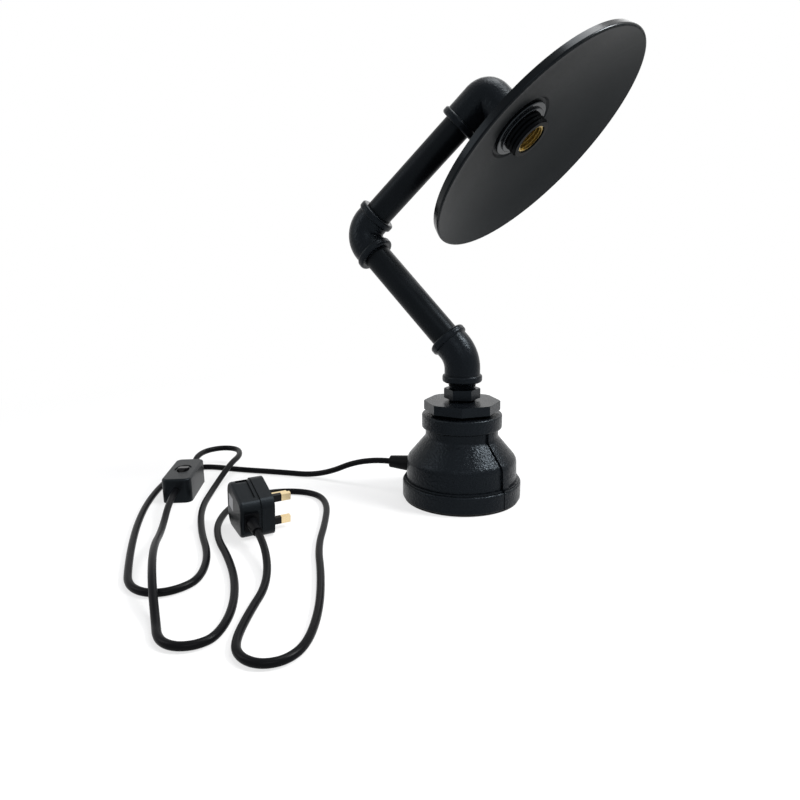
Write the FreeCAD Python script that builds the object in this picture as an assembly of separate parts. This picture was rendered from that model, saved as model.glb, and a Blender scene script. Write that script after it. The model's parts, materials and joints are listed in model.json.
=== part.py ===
import FreeCAD, Part
import math
import os
from FreeCAD import Matrix, Placement, Rotation, Vector

os.makedirs("parts", exist_ok=True)

# Industrial pipe table lamp: a cast reducing socket stands wide end down, and screwed pipe
# fittings carry a dished steel shade with a screw-cap lampholder. All sizes in millimetres.
# Origin: centre of the base on the surface it stands on, +Z up, and the front is towards -Y.

# ---------------------------------------------------------------- driving dimensions
# Pipe and thread of the arm, nominal 3/4 inch
PIPE_OD = 26.9
PIPE_WALL = 2.6
LOWER_PIPE_LENGTH = 132.8
UPPER_PIPE_LENGTH = 133.1
THREAD_OD = 26.4
THREAD_DEPTH = 1.1
THREAD_PITCH = 1.8
THREAD_GRIP = 13.0          # length of thread screwed into a fitting
THREAD_FIT = 0.07           # radial clearance in every screwed joint
THREAD_RUNOUT = 0.6         # the socket is this much deeper than the thread in it

# Elbows
FITTING_BODY_OD = 33.8
FITTING_BORE = 21.0
BEAD_OD = 37.8
BEAD_WIDTH = 7.4
BEAD_ROUND = 2.4
ELBOW_90_REACH = 29.0       # corner of the centre lines to the mouth
ELBOW_90_BEND = 17.6
ELBOW_45_REACH = 24.5
ELBOW_45_BEND = 30.0
TOP_ELBOW_BODY_OD = 34.8    # the top elbow is a heavier casting with a tight bend
TOP_ELBOW_BEAD_OD = 38.8
TOP_ELBOW_REACH = 38.0      # on the side of the pipe
TOP_ELBOW_BEND = 9.0
HEAD_REACH = 29.6           # on the side of the head

# Pose of the arm, in degrees
ARM_AZIMUTH = 155.3
ARM_LEAN = 45.0             # the angle of the lower elbow
UPPER_TWIST = 10.0          # the upper pipe out of the lower pipe's upright plane
HEAD_TWIST = 0.0            # the head out of the plane of the two pipes

# Base: rubber disc and cast reducing socket, 3 inch down and 2 inch up
PAD_THICKNESS = 2.0
PAD_OD = 112.0
SOCKET_HEIGHT = 82.0
RIM_OD = 115.0
RIM_HEIGHT = 16.5
RIM_STEP = 1.8              # second, smaller bead on top of the rim
WIDE_BODY_OD = 107.0
WIDE_BODY_HEIGHT = 38.0
SHOULDER_HEIGHT = 21.5
NECK_OD = 70.0
TOP_BEAD_OD = 77.0
TOP_BEAD_WIDTH = 14.0
CAST_ROUND = 2.0
CAST_WALL = 6.5
WIDE_THREAD_WALL = 9.55     # between the outside of the wide body and its inner thread
WIDE_THREAD_LENGTH = 28.0
RIB_WIDTH = 8.0
RIB_PROUD = 2.2
RIB_AZIMUTH = -42.0

# Octagon bushing, 2 inch to 3/4 inch
BUSHING_THREAD_OD = 59.4
BUSHING_THREAD_LENGTH = 22.0
BUSHING_GAP = 3.2           # thread that shows between the socket and the head
BUSHING_HEAD_HEIGHT = 8.9
BUSHING_ACROSS_CORNERS = 73.0
BUSHING_WALL = 5.0
NARROW_SOCKET_DEPTH = 16.0

# Hex nipple
NIPPLE_HEX_ACROSS_FLATS = 30.0
NIPPLE_HEX_HEIGHT = 9.6
NIPPLE_NECK = 2.5           # thread that shows below the hexagon
NIPPLE_UPPER_NECK = 6.0     # thread that shows above it
NIPPLE_BORE = 19.0
CORNER_CHAMFER = 1.2

# Cord, cord grip and the wiring inside the pipes
CORD_OD = 6.0
CORD_RAISE = 0.05           # the cord's lowest line above the surface
ARC_SHARE = 0.45            # part of a run that each of its two arcs may take
GRIP_AZIMUTH = 165.0
GRIP_HEIGHT = 27.2
GRIP_LENGTH = 22.0          # outside the wall
GRIP_OD = 15.6
GRIP_TIP_OD = 12.0
GRIP_THREAD_OD = 12.0
GRIP_SEAT = 8.2             # radius of the flat seats cut into the wall
GRIP_SEAT_DEPTH = 1.0
GRIP_NUT_AF = 17.0
GRIP_NUT_HEIGHT = 4.0
WIRING_BEND = 24.0
ELBOW_WIRING_BEND = 11.0    # of the inner cord in an elbow
EARTH_AZIMUTH = 60.0
EARTH_HEIGHT = 16.0
EARTH_SCREW_OD = 4.0
EARTH_HEAD_OD = 7.2
EARTH_HEAD_HEIGHT = 2.5
EARTH_LUG_OD = 8.4
EARTH_LUG_THICKNESS = 0.8
EARTH_TAIL_LENGTH = 6.0
CORE_OD = 2.0               # one insulated core of the cord

# Lampholder, E27, along the head's axis
ADAPTOR_FLANGE_OD = 38.2
ADAPTOR_FLANGE = 4.0
CAP_OD = 45.0
CAP_THICKNESS = 5.0
COLLAR_LENGTH = 4.5         # collar of the holder that the shade seats on
NOSE_OD = 39.6              # over the shade-ring thread
NOSE_LENGTH = 17.5
NOSE_THREAD_DEPTH = 1.1
NOSE_THREAD_PITCH = 3.0
NOSE_PLAIN = 5.0
HOLDER_WALL = 2.2
MOUTH_LIP = 2.0
MOUTH_OD = 28.8
CORE_FLOOR = 3.0
STEM_OD = 18.0
STEM_LENGTH = 14.4
STEM_FIT = 0.4
SHELL_BORE = 24.4           # crest of the lamp thread
SHELL_THREAD_DEPTH = 1.1
SHELL_PITCH = 3.6
SHELL_WALL = 0.4
SHELL_RECESS = 1.2          # shell below the mouth
WELL_OD = 13.0
WELL_DEPTH = 7.5
CONTACT_OD = 7.0
CONTACT_HEIGHT = 1.8
RIVET_OD = 3.0
TERMINAL_SIZE = 5.0
TERMINAL_OFFSET = 5.2
TERMINAL_SCREW_OD = 2.6
WIRING_BREAK = 6.0          # length of loose core between the inner cord and the terminals
PLASTIC_GAP = 0.1

# Shade and its ring
SHADE_OD = 232.4
SHADE_THICKNESS = 1.0
SHADE_DEPTH = 29.8          # from the seat to the rim's edge
SHADE_RIM = 8.6             # the rim turns back from the edge by this length
SHADE_RIM_TAPER = 2.2       # and in by this radius
SHADE_FOLD = 1.6            # rounding of that edge
SHADE_SEAT_OD = 61.0
SHADE_SEAT_STEP = 2.0
SHADE_BOW = 3.0             # how far the middle of the flank lies behind a straight cone
SHADE_BEND = 260.0          # radius of the flank there
SHADE_HOLE = 40.6
RING_OD = 56.0
RING_FLANGE = 3.2
RING_HUB_OD = 46.5
RING_HEIGHT = 5.0

# In-line switch
SWITCH_LENGTH = 66.0
SWITCH_WIDTH = 28.0
SWITCH_HEIGHT = 24.0
SWITCH_CORNER = 6.5
SWITCH_EDGE = 2.2
SWITCH_WALL = 2.0
SWITCH_X = -280.0
SWITCH_Y = -8.0
SWITCH_HEADING = 280.0      # direction from the lamp's cord to the plug's cord
ROCKER_LENGTH = 18.0
ROCKER_WIDTH = 10.4
ROCKER_GAP = 0.7
ROCKER_PROUD = 1.6
ROCKER_TILT = 8.0
ROCKER_PIVOT_DEPTH = 5.0    # pivot below the top face
ROCKER_PIN_OD = 2.4
RECESS_LENGTH = 24.0
RECESS_WIDTH = 16.0
RECESS_DEPTH = 1.0
PLUNGER_OD = 3.0
SEESAW_LENGTH = 15.0
SEESAW_WIDTH = 3.6
SEESAW_THICKNESS = 0.8
SEESAW_TILT = 5.0
SEESAW_PIVOT_HEIGHT = 7.5
CASE_SCREW_OD = 2.6
CASE_SCREW_HEAD_OD = 5.0
CASE_SCREW_HEAD_HEIGHT = 1.8
CASE_SCREW_X = 22.0
CASE_SCREW_Y = 8.6
BOSS_OD = 5.6
SHEATH_INSIDE = 9.0         # cord inside the case before its sheath is stripped

# Plug, three flat pins
PLUG_TOP_WIDTH = 48.0
PLUG_FOOT_WIDTH = 34.0
PLUG_TOP = 23.0             # edge of the outline above the middle of the pins
PLUG_FOOT = 25.0
PLUG_TOP_ROUND = 13.0
PLUG_FOOT_ROUND = 8.0
PLUG_FRONT_DEPTH = 11.0
PLUG_BACK_DEPTH = 18.0
PLUG_BACK_INSET = 1.2
PLUG_BACK_ROUND = 2.5
PLUG_WALL = 2.4
PIN_SPACING = 22.2
EARTH_PIN_RISE = 22.2
PIN_LONG = 6.35
PIN_SHORT = 3.96
PIN_LENGTH = 17.7
EARTH_PIN_LONG = 7.95
EARTH_PIN_LENGTH = 22.7
PIN_ROOT = 7.0
SLEEVE_LENGTH = 9.5
SLEEVE_WALL = 0.5
FUSE_OD = 6.3
FUSE_LENGTH = 25.4
CARRIER_WIDTH = 8.4
CARRIER_MARGIN = 1.6
LABEL_WIDTH = 12.0
LABEL_HEIGHT = 13.0
LABEL_THICKNESS = 0.6
GRIP_RECESS_LENGTH = 30.0
GRIP_RECESS_WIDTH = 12.0
GRIP_RECESS_DEPTH = 1.6
BOOT_FLANGE_WIDTH = 16.0
BOOT_FLANGE_DEPTH = 12.0
BOOT_FLANGE = 2.4
BOOT_OD = 10.4
BOOT_TIP_OD = 8.4
BOOT_LENGTH = 15.0
PLUG_X = -170.0
PLUG_Y = -88.0
PLUG_HEADING = 33.4         # direction of the pins, seen from above

# ---------------------------------------------------------------- geometry helpers
UP = Vector(0, 0, 1)


def unit(vector):
    """The vector at length one."""
    return Vector(vector).normalize()


def heading(degrees):
    """Level direction at an angle from +X."""
    return Vector(math.cos(math.radians(degrees)), math.sin(math.radians(degrees)), 0)


def frame(origin, z_axis, x_hint):
    """Placement with its Z along z_axis and its X as near as possible to x_hint."""
    z = unit(z_axis)
    x = unit(x_hint - z * x_hint.dot(z))
    y = z.cross(x)
    return Placement(Matrix(x.x, y.x, z.x, origin.x, x.y, y.y, z.y, origin.y,
                            x.z, y.z, z.z, origin.z, 0, 0, 0, 1))


def put(shape, place):
    """A copy of a shape moved from its own frame to the lamp's."""
    moved = shape.copy()
    moved.Placement = place.multiply(shape.Placement)
    return moved


def rounded_wire(corners, radii, closed):
    """Straight runs between corners, where each corner with a radius is a tangent arc."""
    count = len(corners)
    starts, middles, ends = list(corners), [None] * count, list(corners)
    for i, corner in enumerate(corners):
        if radii[i] <= 0 or not (closed or 0 < i < count - 1):
            continue
        back = unit(corners[i - 1] - corner)
        ahead = unit(corners[(i + 1) % count] - corner)
        half = back.getAngle(ahead) / 2
        cut = radii[i] / math.tan(half)
        starts[i] = corner + back * cut
        ends[i] = corner + ahead * cut
        middles[i] = corner + unit(back + ahead) * (radii[i] / math.sin(half) - radii[i])
    edges = []
    for i in range(count):
        if middles[i] is not None:
            edges.append(Part.Arc(starts[i], middles[i], ends[i]).toShape())
        following = starts[(i + 1) % count]
        if (closed or i < count - 1) and (following - ends[i]).Length > 1e-6:
            edges.append(Part.LineSegment(ends[i], following).toShape())
    return Part.Wire(edges)


def corner_radii(corners):
    """The third number of a corner is its radius, and a corner without one is sharp."""
    return [corner[2] if len(corner) > 2 else 0 for corner in corners]


def turned(*corners):
    """Solid turned about Z from corners (radius, z) or (radius, z, corner radius)."""
    points = [Vector(corner[0], 0, corner[1]) for corner in corners]
    face = Part.Face(rounded_wire(points, corner_radii(corners), True))
    return face.revolve(Vector(), UP, 360)


def prism(corners, z0, z1):
    """Upright solid over an outline of corners (x, y) or (x, y, corner radius)."""
    points = [Vector(corner[0], corner[1], z0) for corner in corners]
    face = Part.Face(rounded_wire(points, corner_radii(corners), True))
    return face.extrude(Vector(0, 0, z1 - z0))


def rod(diameter, z0, z1, x=0.0, y=0.0):
    """Round bar along Z."""
    return Part.makeCylinder(diameter / 2, z1 - z0, Vector(x, y, z0))


def block(x0, x1, y0, y1, z0, z1):
    """Box from its limits."""
    return Part.makeBox(x1 - x0, y1 - y0, z1 - z0, Vector(x0, y0, z0))


def polygon_bar(sides, across_corners, z0, z1, first_corner):
    """Bar with regular flats, with the corners of its upper end chamfered."""
    radius = across_corners / 2
    corners = []
    for i in range(sides):
        angle = math.radians(first_corner + 360.0 * i / sides)
        corners.append((radius * math.cos(angle), radius * math.sin(angle)))
    trim = turned((0, z0), (radius + 1, z0), (radius + 1, z1 - CORNER_CHAMFER),
                  (radius - 1, z1), (0, z1))
    return prism(corners, z0, z1).common(trim)


def ridged(outer, depth, pitch, z0, z1):
    """Bar with a row of thread ridges, each one pitch high."""
    count = max(1, int((z1 - z0) / pitch))
    step = (z1 - z0) / count
    corners = [(0, z0), (outer / 2 - depth, z0)]
    for i in range(count):
        corners.append((outer / 2, z0 + step * (i + 0.5)))
        corners.append((outer / 2 - depth, z0 + step * (i + 1)))
    corners.append((0, z1))
    return turned(*corners)


def oval(length, width, z0, z1):
    """Upright bar with an elliptical outline, long along X."""
    ellipse = Part.Ellipse(Vector(0, 0, z0), length / 2, width / 2)
    return Part.Face(Part.Wire(ellipse.toShape())).extrude(Vector(0, 0, z1 - z0))


def bent_bar(diameter, reach_in, reach_out, bend, angle):
    """Round bar that comes up Z to a corner at the origin and leaves in the XZ plane."""
    out = Vector(math.sin(math.radians(angle)), 0, math.cos(math.radians(angle)))
    path = rounded_wire([UP * -reach_in, Vector(), out * reach_out], [0, bend, 0], False)
    section = Part.Wire(Part.Circle(UP * -reach_in, UP, diameter / 2).toShape())
    return path.makePipeShell([section], True, False)


def elbow_bar(diameter, reach_in, reach_out, bend, angle):
    """The same bar for a bend that may be tighter than the bar's own radius."""
    out = Vector(math.sin(math.radians(angle)), 0, math.cos(math.radians(angle)))
    radius = diameter / 2
    tangent = bend * math.tan(math.radians(angle) / 2)
    limb_in = Part.makeCylinder(radius, reach_in - tangent, UP * -reach_in, UP)
    limb_out = Part.makeCylinder(radius, reach_out - tangent, out * tangent, out)
    disc = Part.Face(Part.Wire(Part.Circle(UP * -tangent, UP, radius).toShape()))
    keep = Part.makePlane(radius + min(bend, radius), diameter, Vector(-radius, -radius, -tangent))
    turn = disc.common(keep).Faces[0].revolve(Vector(bend, 0, -tangent), Vector(0, 1, 0), angle)
    return limb_in.fuse([turn, limb_out]).removeSplitter()


def save(name, *solids):
    """Write one node: a solid, or a group of separate solids."""
    shape = solids[0] if len(solids) == 1 else Part.makeCompound(list(solids))
    shape.exportStep("parts/" + name + ".step")


# ---------------------------------------------------------------- places along the lamp
socket_top = PAD_THICKNESS + SOCKET_HEIGHT
bushing_head = socket_top + BUSHING_GAP
bushing_top = bushing_head + BUSHING_HEAD_HEIGHT
nipple_hex = bushing_top + NIPPLE_NECK
nipple_shoulder = nipple_hex + NIPPLE_HEX_HEIGHT
elbow_mouth = nipple_shoulder + NIPPLE_UPPER_NECK
thread_socket = THREAD_OD + 2 * THREAD_FIT

lower_corner = UP * (elbow_mouth + ELBOW_45_REACH)
lower_axis = heading(ARM_AZIMUTH) * math.sin(math.radians(ARM_LEAN))
lower_axis += UP * math.cos(math.radians(ARM_LEAN))
upright = unit(UP - lower_axis * UP.dot(lower_axis))
upper_axis = Rotation(lower_axis, UPPER_TWIST).multVec(upright)
head_axis = Rotation(upper_axis, HEAD_TWIST).multVec(lower_axis * -1)

lower_pipe_show = LOWER_PIPE_LENGTH - 2 * THREAD_GRIP
upper_pipe_show = UPPER_PIPE_LENGTH - 2 * THREAD_GRIP
middle_corner = lower_corner + lower_axis * (ELBOW_45_REACH + lower_pipe_show + ELBOW_90_REACH)
top_corner = middle_corner + upper_axis * (ELBOW_90_REACH + upper_pipe_show + TOP_ELBOW_REACH)

lower_elbow_place = frame(lower_corner, UP, lower_axis)
middle_elbow_place = frame(middle_corner, lower_axis, upper_axis)
top_elbow_place = frame(top_corner, upper_axis, head_axis)
head_place = frame(top_corner, head_axis, upper_axis)

grip_place = frame(UP * GRIP_HEIGHT, heading(GRIP_AZIMUTH), UP)
grip_seat_out = WIDE_BODY_OD / 2 - GRIP_SEAT_DEPTH
grip_seat_in = WIDE_BODY_OD / 2 - CAST_WALL + GRIP_SEAT_DEPTH / 2
grip_tip = grip_seat_out + GRIP_LENGTH
earth_place = frame(UP * EARTH_HEIGHT, heading(EARTH_AZIMUTH), UP)
earth_seat = WIDE_BODY_OD / 2 - WIDE_THREAD_WALL + THREAD_RUNOUT


# ---------------------------------------------------------------- base
def base_pad():
    """Rubber disc that closes the wide end and stands on the surface."""
    return rod(PAD_OD, 0, PAD_THICKNESS)


def base_outline(proud):
    """Outer corners of the cast socket from the rim up, set out by a small amount."""
    foot = PAD_THICKNESS
    rim = RIM_OD / 2 + min(proud, CAST_ROUND / 4)
    body = WIDE_BODY_OD / 2 + proud
    neck = NECK_OD / 2 + proud
    shoulder = foot + WIDE_BODY_HEIGHT
    band = socket_top - TOP_BEAD_WIDTH
    return [(rim, foot, CAST_ROUND / 2), (rim, foot + RIM_HEIGHT, CAST_ROUND),
            (body + RIM_STEP, foot + RIM_HEIGHT), (body + RIM_STEP, foot + RIM_HEIGHT + RIM_STEP),
            (body, foot + RIM_HEIGHT + RIM_STEP), (body - 0.6, shoulder, 4.5 * CAST_ROUND),
            (neck, shoulder + SHOULDER_HEIGHT, 3 * CAST_ROUND), (neck, band)]


def base_reducer():
    """Cast reducing socket with two casting ribs, the grip's hole and the earth screw's hole."""
    bead = TOP_BEAD_OD / 2
    bore = BUSHING_THREAD_OD / 2 + THREAD_FIT
    wide = WIDE_BODY_OD / 2 - WIDE_THREAD_WALL
    thread_end = PAD_THICKNESS + WIDE_THREAD_LENGTH
    shoulder = PAD_THICKNESS + WIDE_BODY_HEIGHT
    inner = WIDE_BODY_OD / 2 - CAST_WALL
    narrow_end = socket_top - BUSHING_THREAD_LENGTH - THREAD_RUNOUT
    body = turned((wide, PAD_THICKNESS), *base_outline(0),
                  (bead, socket_top - TOP_BEAD_WIDTH, CAST_ROUND), (bead, socket_top, CAST_ROUND),
                  (bore, socket_top), (bore, narrow_end), (inner, shoulder - CAST_WALL / 2),
                  (inner, thread_end), (wide, thread_end))
    proud = turned((NECK_OD / 2 - 2, PAD_THICKNESS), *base_outline(RIB_PROUD),
                   (NECK_OD / 2 - 2, socket_top - TOP_BEAD_WIDTH))
    reach = RIM_OD / 2 + RIB_PROUD
    for azimuth in (RIB_AZIMUTH, RIB_AZIMUTH + 180):
        slab = block(NECK_OD / 2 - 2, reach, -RIB_WIDTH / 2, RIB_WIDTH / 2,
                     PAD_THICKNESS, socket_top - TOP_BEAD_WIDTH)
        rib = proud.common(put(slab, frame(Vector(), UP, heading(azimuth))))
        keep_out = turned((0, 0), (wide, 0), (wide, thread_end), (inner, thread_end),
                          (inner, shoulder - CAST_WALL / 2), (bore, narrow_end), (0, narrow_end))
        body = body.fuse(rib.cut(keep_out))
    body = body.cut(put(grip_hole(), grip_place))
    body = body.cut(put(earth_hole(), earth_place))
    return body.removeSplitter()


def grip_hole():
    """Cord hole through the wall, with a flat seat on each side."""
    hole = rod(GRIP_THREAD_OD + 2 * THREAD_FIT, 0, RIM_OD)
    outside = rod(2 * GRIP_SEAT, grip_seat_out, RIM_OD)
    inside = rod(GRIP_NUT_AF * 1.3, 0, grip_seat_in)
    return hole.fuse([outside, inside])


def earth_hole():
    """Blind tapped hole for the earth screw, with a flat seat."""
    reach = EARTH_LUG_OD / 2 + EARTH_TAIL_LENGTH + 1
    seat = rod(EARTH_LUG_OD + 1, 0, earth_seat)
    seat = seat.fuse(block(0, reach, -EARTH_LUG_OD / 4, EARTH_LUG_OD / 4, 0, earth_seat))
    hole = rod(EARTH_SCREW_OD + 2 * THREAD_FIT, 0, earth_seat + EARTH_SCREW_OD + 1)
    return seat.fuse(hole)


def octagon_bushing():
    """Reducing bushing: octagon head, thread that shows below it, hollow shank."""
    foot = socket_top - BUSHING_THREAD_LENGTH
    head = polygon_bar(8, BUSHING_ACROSS_CORNERS, bushing_head, bushing_top, -90)
    shank = rod(BUSHING_THREAD_OD, foot, socket_top)
    neck = ridged(BUSHING_THREAD_OD, THREAD_DEPTH, THREAD_PITCH, socket_top, bushing_head)
    hollow = rod(BUSHING_THREAD_OD - 2 * THREAD_DEPTH - 2 * BUSHING_WALL, foot,
                 bushing_top - NARROW_SOCKET_DEPTH - BUSHING_WALL / 2)
    passage = rod(NIPPLE_BORE, foot, bushing_top)
    mouth = rod(thread_socket, bushing_top - NARROW_SOCKET_DEPTH, bushing_top)
    return head.fuse([shank, neck]).cut(hollow.fuse([passage, mouth])).removeSplitter()


def hex_nipple():
    """Nipple: hexagon between two threads, bored through for the wiring."""
    foot = bushing_top - THREAD_GRIP
    head = elbow_mouth + THREAD_GRIP
    across_corners = NIPPLE_HEX_ACROSS_FLATS / math.cos(math.radians(30))
    hexagon = polygon_bar(6, across_corners, nipple_hex, nipple_shoulder, 0)
    lower = rod(THREAD_OD, foot, bushing_top)
    upper = rod(THREAD_OD, elbow_mouth, head)
    lower_show = ridged(THREAD_OD, THREAD_DEPTH, THREAD_PITCH, bushing_top, nipple_hex)
    upper_show = ridged(THREAD_OD, THREAD_DEPTH, THREAD_PITCH, nipple_shoulder, elbow_mouth)
    bar = hexagon.fuse([lower, upper, lower_show, upper_show])
    return bar.cut(rod(NIPPLE_BORE, foot, head)).removeSplitter()


def base_cord_grip():
    """Tapered grip that leads the cord out of the wall, hollow for the inner cord."""
    foot = grip_seat_in - GRIP_NUT_HEIGHT - 1
    half = GRIP_OD / 2
    body = turned((0, foot), (GRIP_THREAD_OD / 2, foot), (GRIP_THREAD_OD / 2, grip_seat_out),
                  (half, grip_seat_out), (half, grip_seat_out + 2.4, 0.8),
                  (GRIP_TIP_OD / 2, grip_tip, 0.6), (0, grip_tip))
    return body.cut(rod(CORD_OD + 2 * THREAD_FIT, foot, grip_seat_out + GRIP_LENGTH / 2))


def base_grip_nut():
    """Hexagon nut that holds the grip from inside the base."""
    across_corners = GRIP_NUT_AF / math.cos(math.radians(30))
    nut = polygon_bar(6, across_corners, grip_seat_in - GRIP_NUT_HEIGHT, grip_seat_in, 0)
    return nut.cut(rod(GRIP_THREAD_OD + 2 * THREAD_FIT, 0, grip_seat_in))


def earth_lug():
    """Ring terminal with a short crimped tail that points up."""
    face = earth_seat - EARTH_LUG_THICKNESS
    half = CORE_OD / 2 + EARTH_LUG_THICKNESS / 2
    reach = EARTH_LUG_OD / 2 + EARTH_TAIL_LENGTH
    tail = block(0, reach, -half, half, face, earth_seat)
    lug = rod(EARTH_LUG_OD, face, earth_seat).fuse(tail)
    return lug.cut(rod(EARTH_SCREW_OD + 2 * THREAD_FIT, face, earth_seat)).removeSplitter()


def earth_core():
    """Insulated core from the inner cord at the middle of the base to the lug's tail."""
    face = earth_seat - EARTH_LUG_THICKNESS - CORE_OD / 2
    tail = EARTH_LUG_OD / 2 + EARTH_TAIL_LENGTH
    corners = [Vector(tail - 3, 0, face), Vector(tail + 12, 0, face),
               Vector(tail + 24, 0, CORD_OD / 2 + CORE_OD / 2 + PLASTIC_GAP),
               Vector(tail + 34, 0, CORD_OD / 2 + CORE_OD / 2 + PLASTIC_GAP)]
    return core_wire(corners)


def earth_screw():
    """Cheese-head screw that clamps the earth lug."""
    face = earth_seat - EARTH_LUG_THICKNESS
    head = rod(EARTH_HEAD_OD, face - EARTH_HEAD_HEIGHT, face)
    slot = block(-EARTH_HEAD_OD, EARTH_HEAD_OD, -0.5, 0.5, face - EARTH_HEAD_HEIGHT,
                 face - EARTH_HEAD_HEIGHT / 2)
    return head.fuse(rod(EARTH_SCREW_OD, face, earth_seat + EARTH_SCREW_OD)).cut(slot)


# ---------------------------------------------------------------- arm
def elbow(body_od, bead_od, reach_in, reach_out, bend, angle):
    """Beaded elbow with a threaded socket at each mouth, corner at the origin."""
    out = Vector(math.sin(math.radians(angle)), 0, math.cos(math.radians(angle)))
    mouth_in = frame(UP * -reach_in, UP, Vector(1, 0, 0))
    mouth_out = frame(out * reach_out, out * -1, Vector(0, 1, 0))
    body = elbow_bar(body_od, reach_in, reach_out, bend, angle)
    bead = turned((0, 0), (bead_od / 2, 0, BEAD_ROUND), (bead_od / 2, BEAD_WIDTH, BEAD_ROUND),
                  (0, BEAD_WIDTH))
    socket = rod(thread_socket, 0, THREAD_GRIP + THREAD_RUNOUT)
    body = body.fuse([put(bead, mouth_in), put(bead, mouth_out)])
    body = body.cut(elbow_bar(FITTING_BORE, reach_in, reach_out, bend, angle))
    return body.cut(put(socket, mouth_in)).cut(put(socket, mouth_out)).removeSplitter()


def pipe(length):
    """Pipe with a thread at each end, along Z from the end of its lower thread."""
    plain = rod(PIPE_OD, THREAD_GRIP, length - THREAD_GRIP)
    body = plain.fuse(rod(THREAD_OD, 0, length))
    return body.cut(rod(PIPE_OD - 2 * PIPE_WALL, 0, length)).removeSplitter()


def wiring(*corners):
    """Inner cord from corner to corner, with an equal bend at each inner corner."""
    path = rounded_wire(list(corners), [WIRING_BEND] * len(corners), False)
    section = Part.Wire(Part.Circle(corners[0], corners[1] - corners[0], CORD_OD / 2).toShape())
    return path.makePipeShell([section], True, False)


def core_wire(corners):
    """One insulated core through its corners, with tangent bends."""
    radii = [0] * len(corners)
    for i in range(1, len(corners) - 1):
        before, after = corners[i] - corners[i - 1], corners[i + 1] - corners[i]
        turn = before.getAngle(after)
        radii[i] = ARC_SHARE * min(before.Length, after.Length) / math.tan(turn / 2)
    path = rounded_wire(corners, radii, False)
    section = Part.Wire(Part.Circle(corners[0], corners[1] - corners[0], CORE_OD / 2).toShape())
    return path.makePipeShell([section], True, False)


def elbow_wiring(place, angle, reach_in, reach_out):
    """Inner cord along the middle of an elbow and the pipe after it."""
    return put(bent_bar(CORD_OD, reach_in, reach_out, ELBOW_WIRING_BEND, angle), place)


# ---------------------------------------------------------------- lampholder, along its axis
adaptor_face = HEAD_REACH
cap_foot = adaptor_face + ADAPTOR_FLANGE
collar_foot = cap_foot + CAP_THICKNESS
shade_seat = collar_foot + COLLAR_LENGTH
mouth = shade_seat + NOSE_LENGTH
nose_bore = NOSE_OD - 2 * NOSE_THREAD_DEPTH - 2 * HOLDER_WALL
core_od = nose_bore - 2 * PLASTIC_GAP
core_foot = collar_foot
core_seat = core_foot + CORE_FLOOR
shell_mouth = mouth - SHELL_RECESS
shell_od = SHELL_BORE + 2 * SHELL_THREAD_DEPTH + 2 * SHELL_WALL
stem_foot = core_foot - STEM_LENGTH
well_floor = core_seat - WELL_DEPTH
wiring_end = stem_foot - TERMINAL_SIZE - WIRING_BREAK


def holder_adaptor():
    """Threaded plug with a flange that joins the lampholder to the elbow."""
    thread = rod(THREAD_OD, adaptor_face - THREAD_GRIP, adaptor_face)
    flange = turned((0, adaptor_face), (ADAPTOR_FLANGE_OD / 2, adaptor_face),
                    (ADAPTOR_FLANGE_OD / 2, cap_foot, 0.8), (0, cap_foot))
    return thread.fuse(flange).cut(rod(STEM_OD + 2 * STEM_FIT, 0, cap_foot)).removeSplitter()


def holder_cap():
    """Rear cap of the lampholder."""
    disc = turned((0, cap_foot), (CAP_OD / 2, cap_foot, 1.0), (CAP_OD / 2, collar_foot),
                  (0, collar_foot))
    return disc.cut(rod(STEM_OD + 2 * STEM_FIT, cap_foot, collar_foot))


def holder_body():
    """Front of the lampholder: collar, nose with the shade-ring thread, lip at the mouth."""
    collar = rod(CAP_OD, collar_foot, shade_seat)
    plain = rod(NOSE_OD, shade_seat, shade_seat + NOSE_PLAIN)
    nose = ridged(NOSE_OD, NOSE_THREAD_DEPTH, NOSE_THREAD_PITCH, shade_seat + NOSE_PLAIN,
                  mouth - 1)
    lip = turned((0, mouth - 1), (NOSE_OD / 2 - NOSE_THREAD_DEPTH, mouth - 1),
                 (NOSE_OD / 2 - NOSE_THREAD_DEPTH, mouth, 0.5), (0, mouth))
    body = collar.fuse([plain, nose, lip])
    body = body.cut(rod(nose_bore, collar_foot, mouth - MOUTH_LIP))
    return body.cut(rod(MOUTH_OD, collar_foot, mouth)).removeSplitter()


def holder_core():
    """Ceramic insulator: cup round the screw shell, well for the contact, stem behind."""
    cup = rod(core_od, core_foot, mouth - MOUTH_LIP - PLASTIC_GAP)
    cup = cup.cut(rod(shell_od + 2 * PLASTIC_GAP, core_seat, mouth))
    stem = rod(STEM_OD, stem_foot, core_foot)
    core = cup.fuse(stem).cut(rod(WELL_OD, well_floor, core_seat))
    core = core.cut(rod(RIVET_OD + 2 * PLASTIC_GAP, stem_foot, well_floor))
    return core.cut(neutral_link_bar(PLASTIC_GAP)).removeSplitter()


def neutral_link_bar(gap):
    """Strip beside the well that joins the shell to the neutral terminal."""
    x = WELL_OD / 2 + 0.4
    return block(x - gap, x + 0.8 + gap, -1.5 - gap, 1.5 + gap, stem_foot, core_seat)


def screw_shell():
    """Brass shell with rounded thread rings and a seat at its foot, with the neutral link."""
    crest = SHELL_BORE / 2
    valley = crest + SHELL_THREAD_DEPTH
    length = shell_mouth - core_seat - SHELL_WALL
    count = round(length / SHELL_PITCH)
    step = length / count
    inside = []
    for i in range(count):
        z = core_seat + SHELL_WALL + step * i
        inside += [(crest, z), (crest, z + step * 0.3), (valley, z + step * 0.5),
                   (valley, z + step * 0.8), (crest, z + step)]
    inside = inside[:-1] + [(crest, shell_mouth)]
    wall = turned((shell_od / 2, core_seat), (shell_od / 2, shell_mouth), *reversed(inside),
                  (WELL_OD / 2, core_seat + SHELL_WALL), (WELL_OD / 2, core_seat))
    link = neutral_link_bar(0)
    return wall.fuse(link).removeSplitter()


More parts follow.
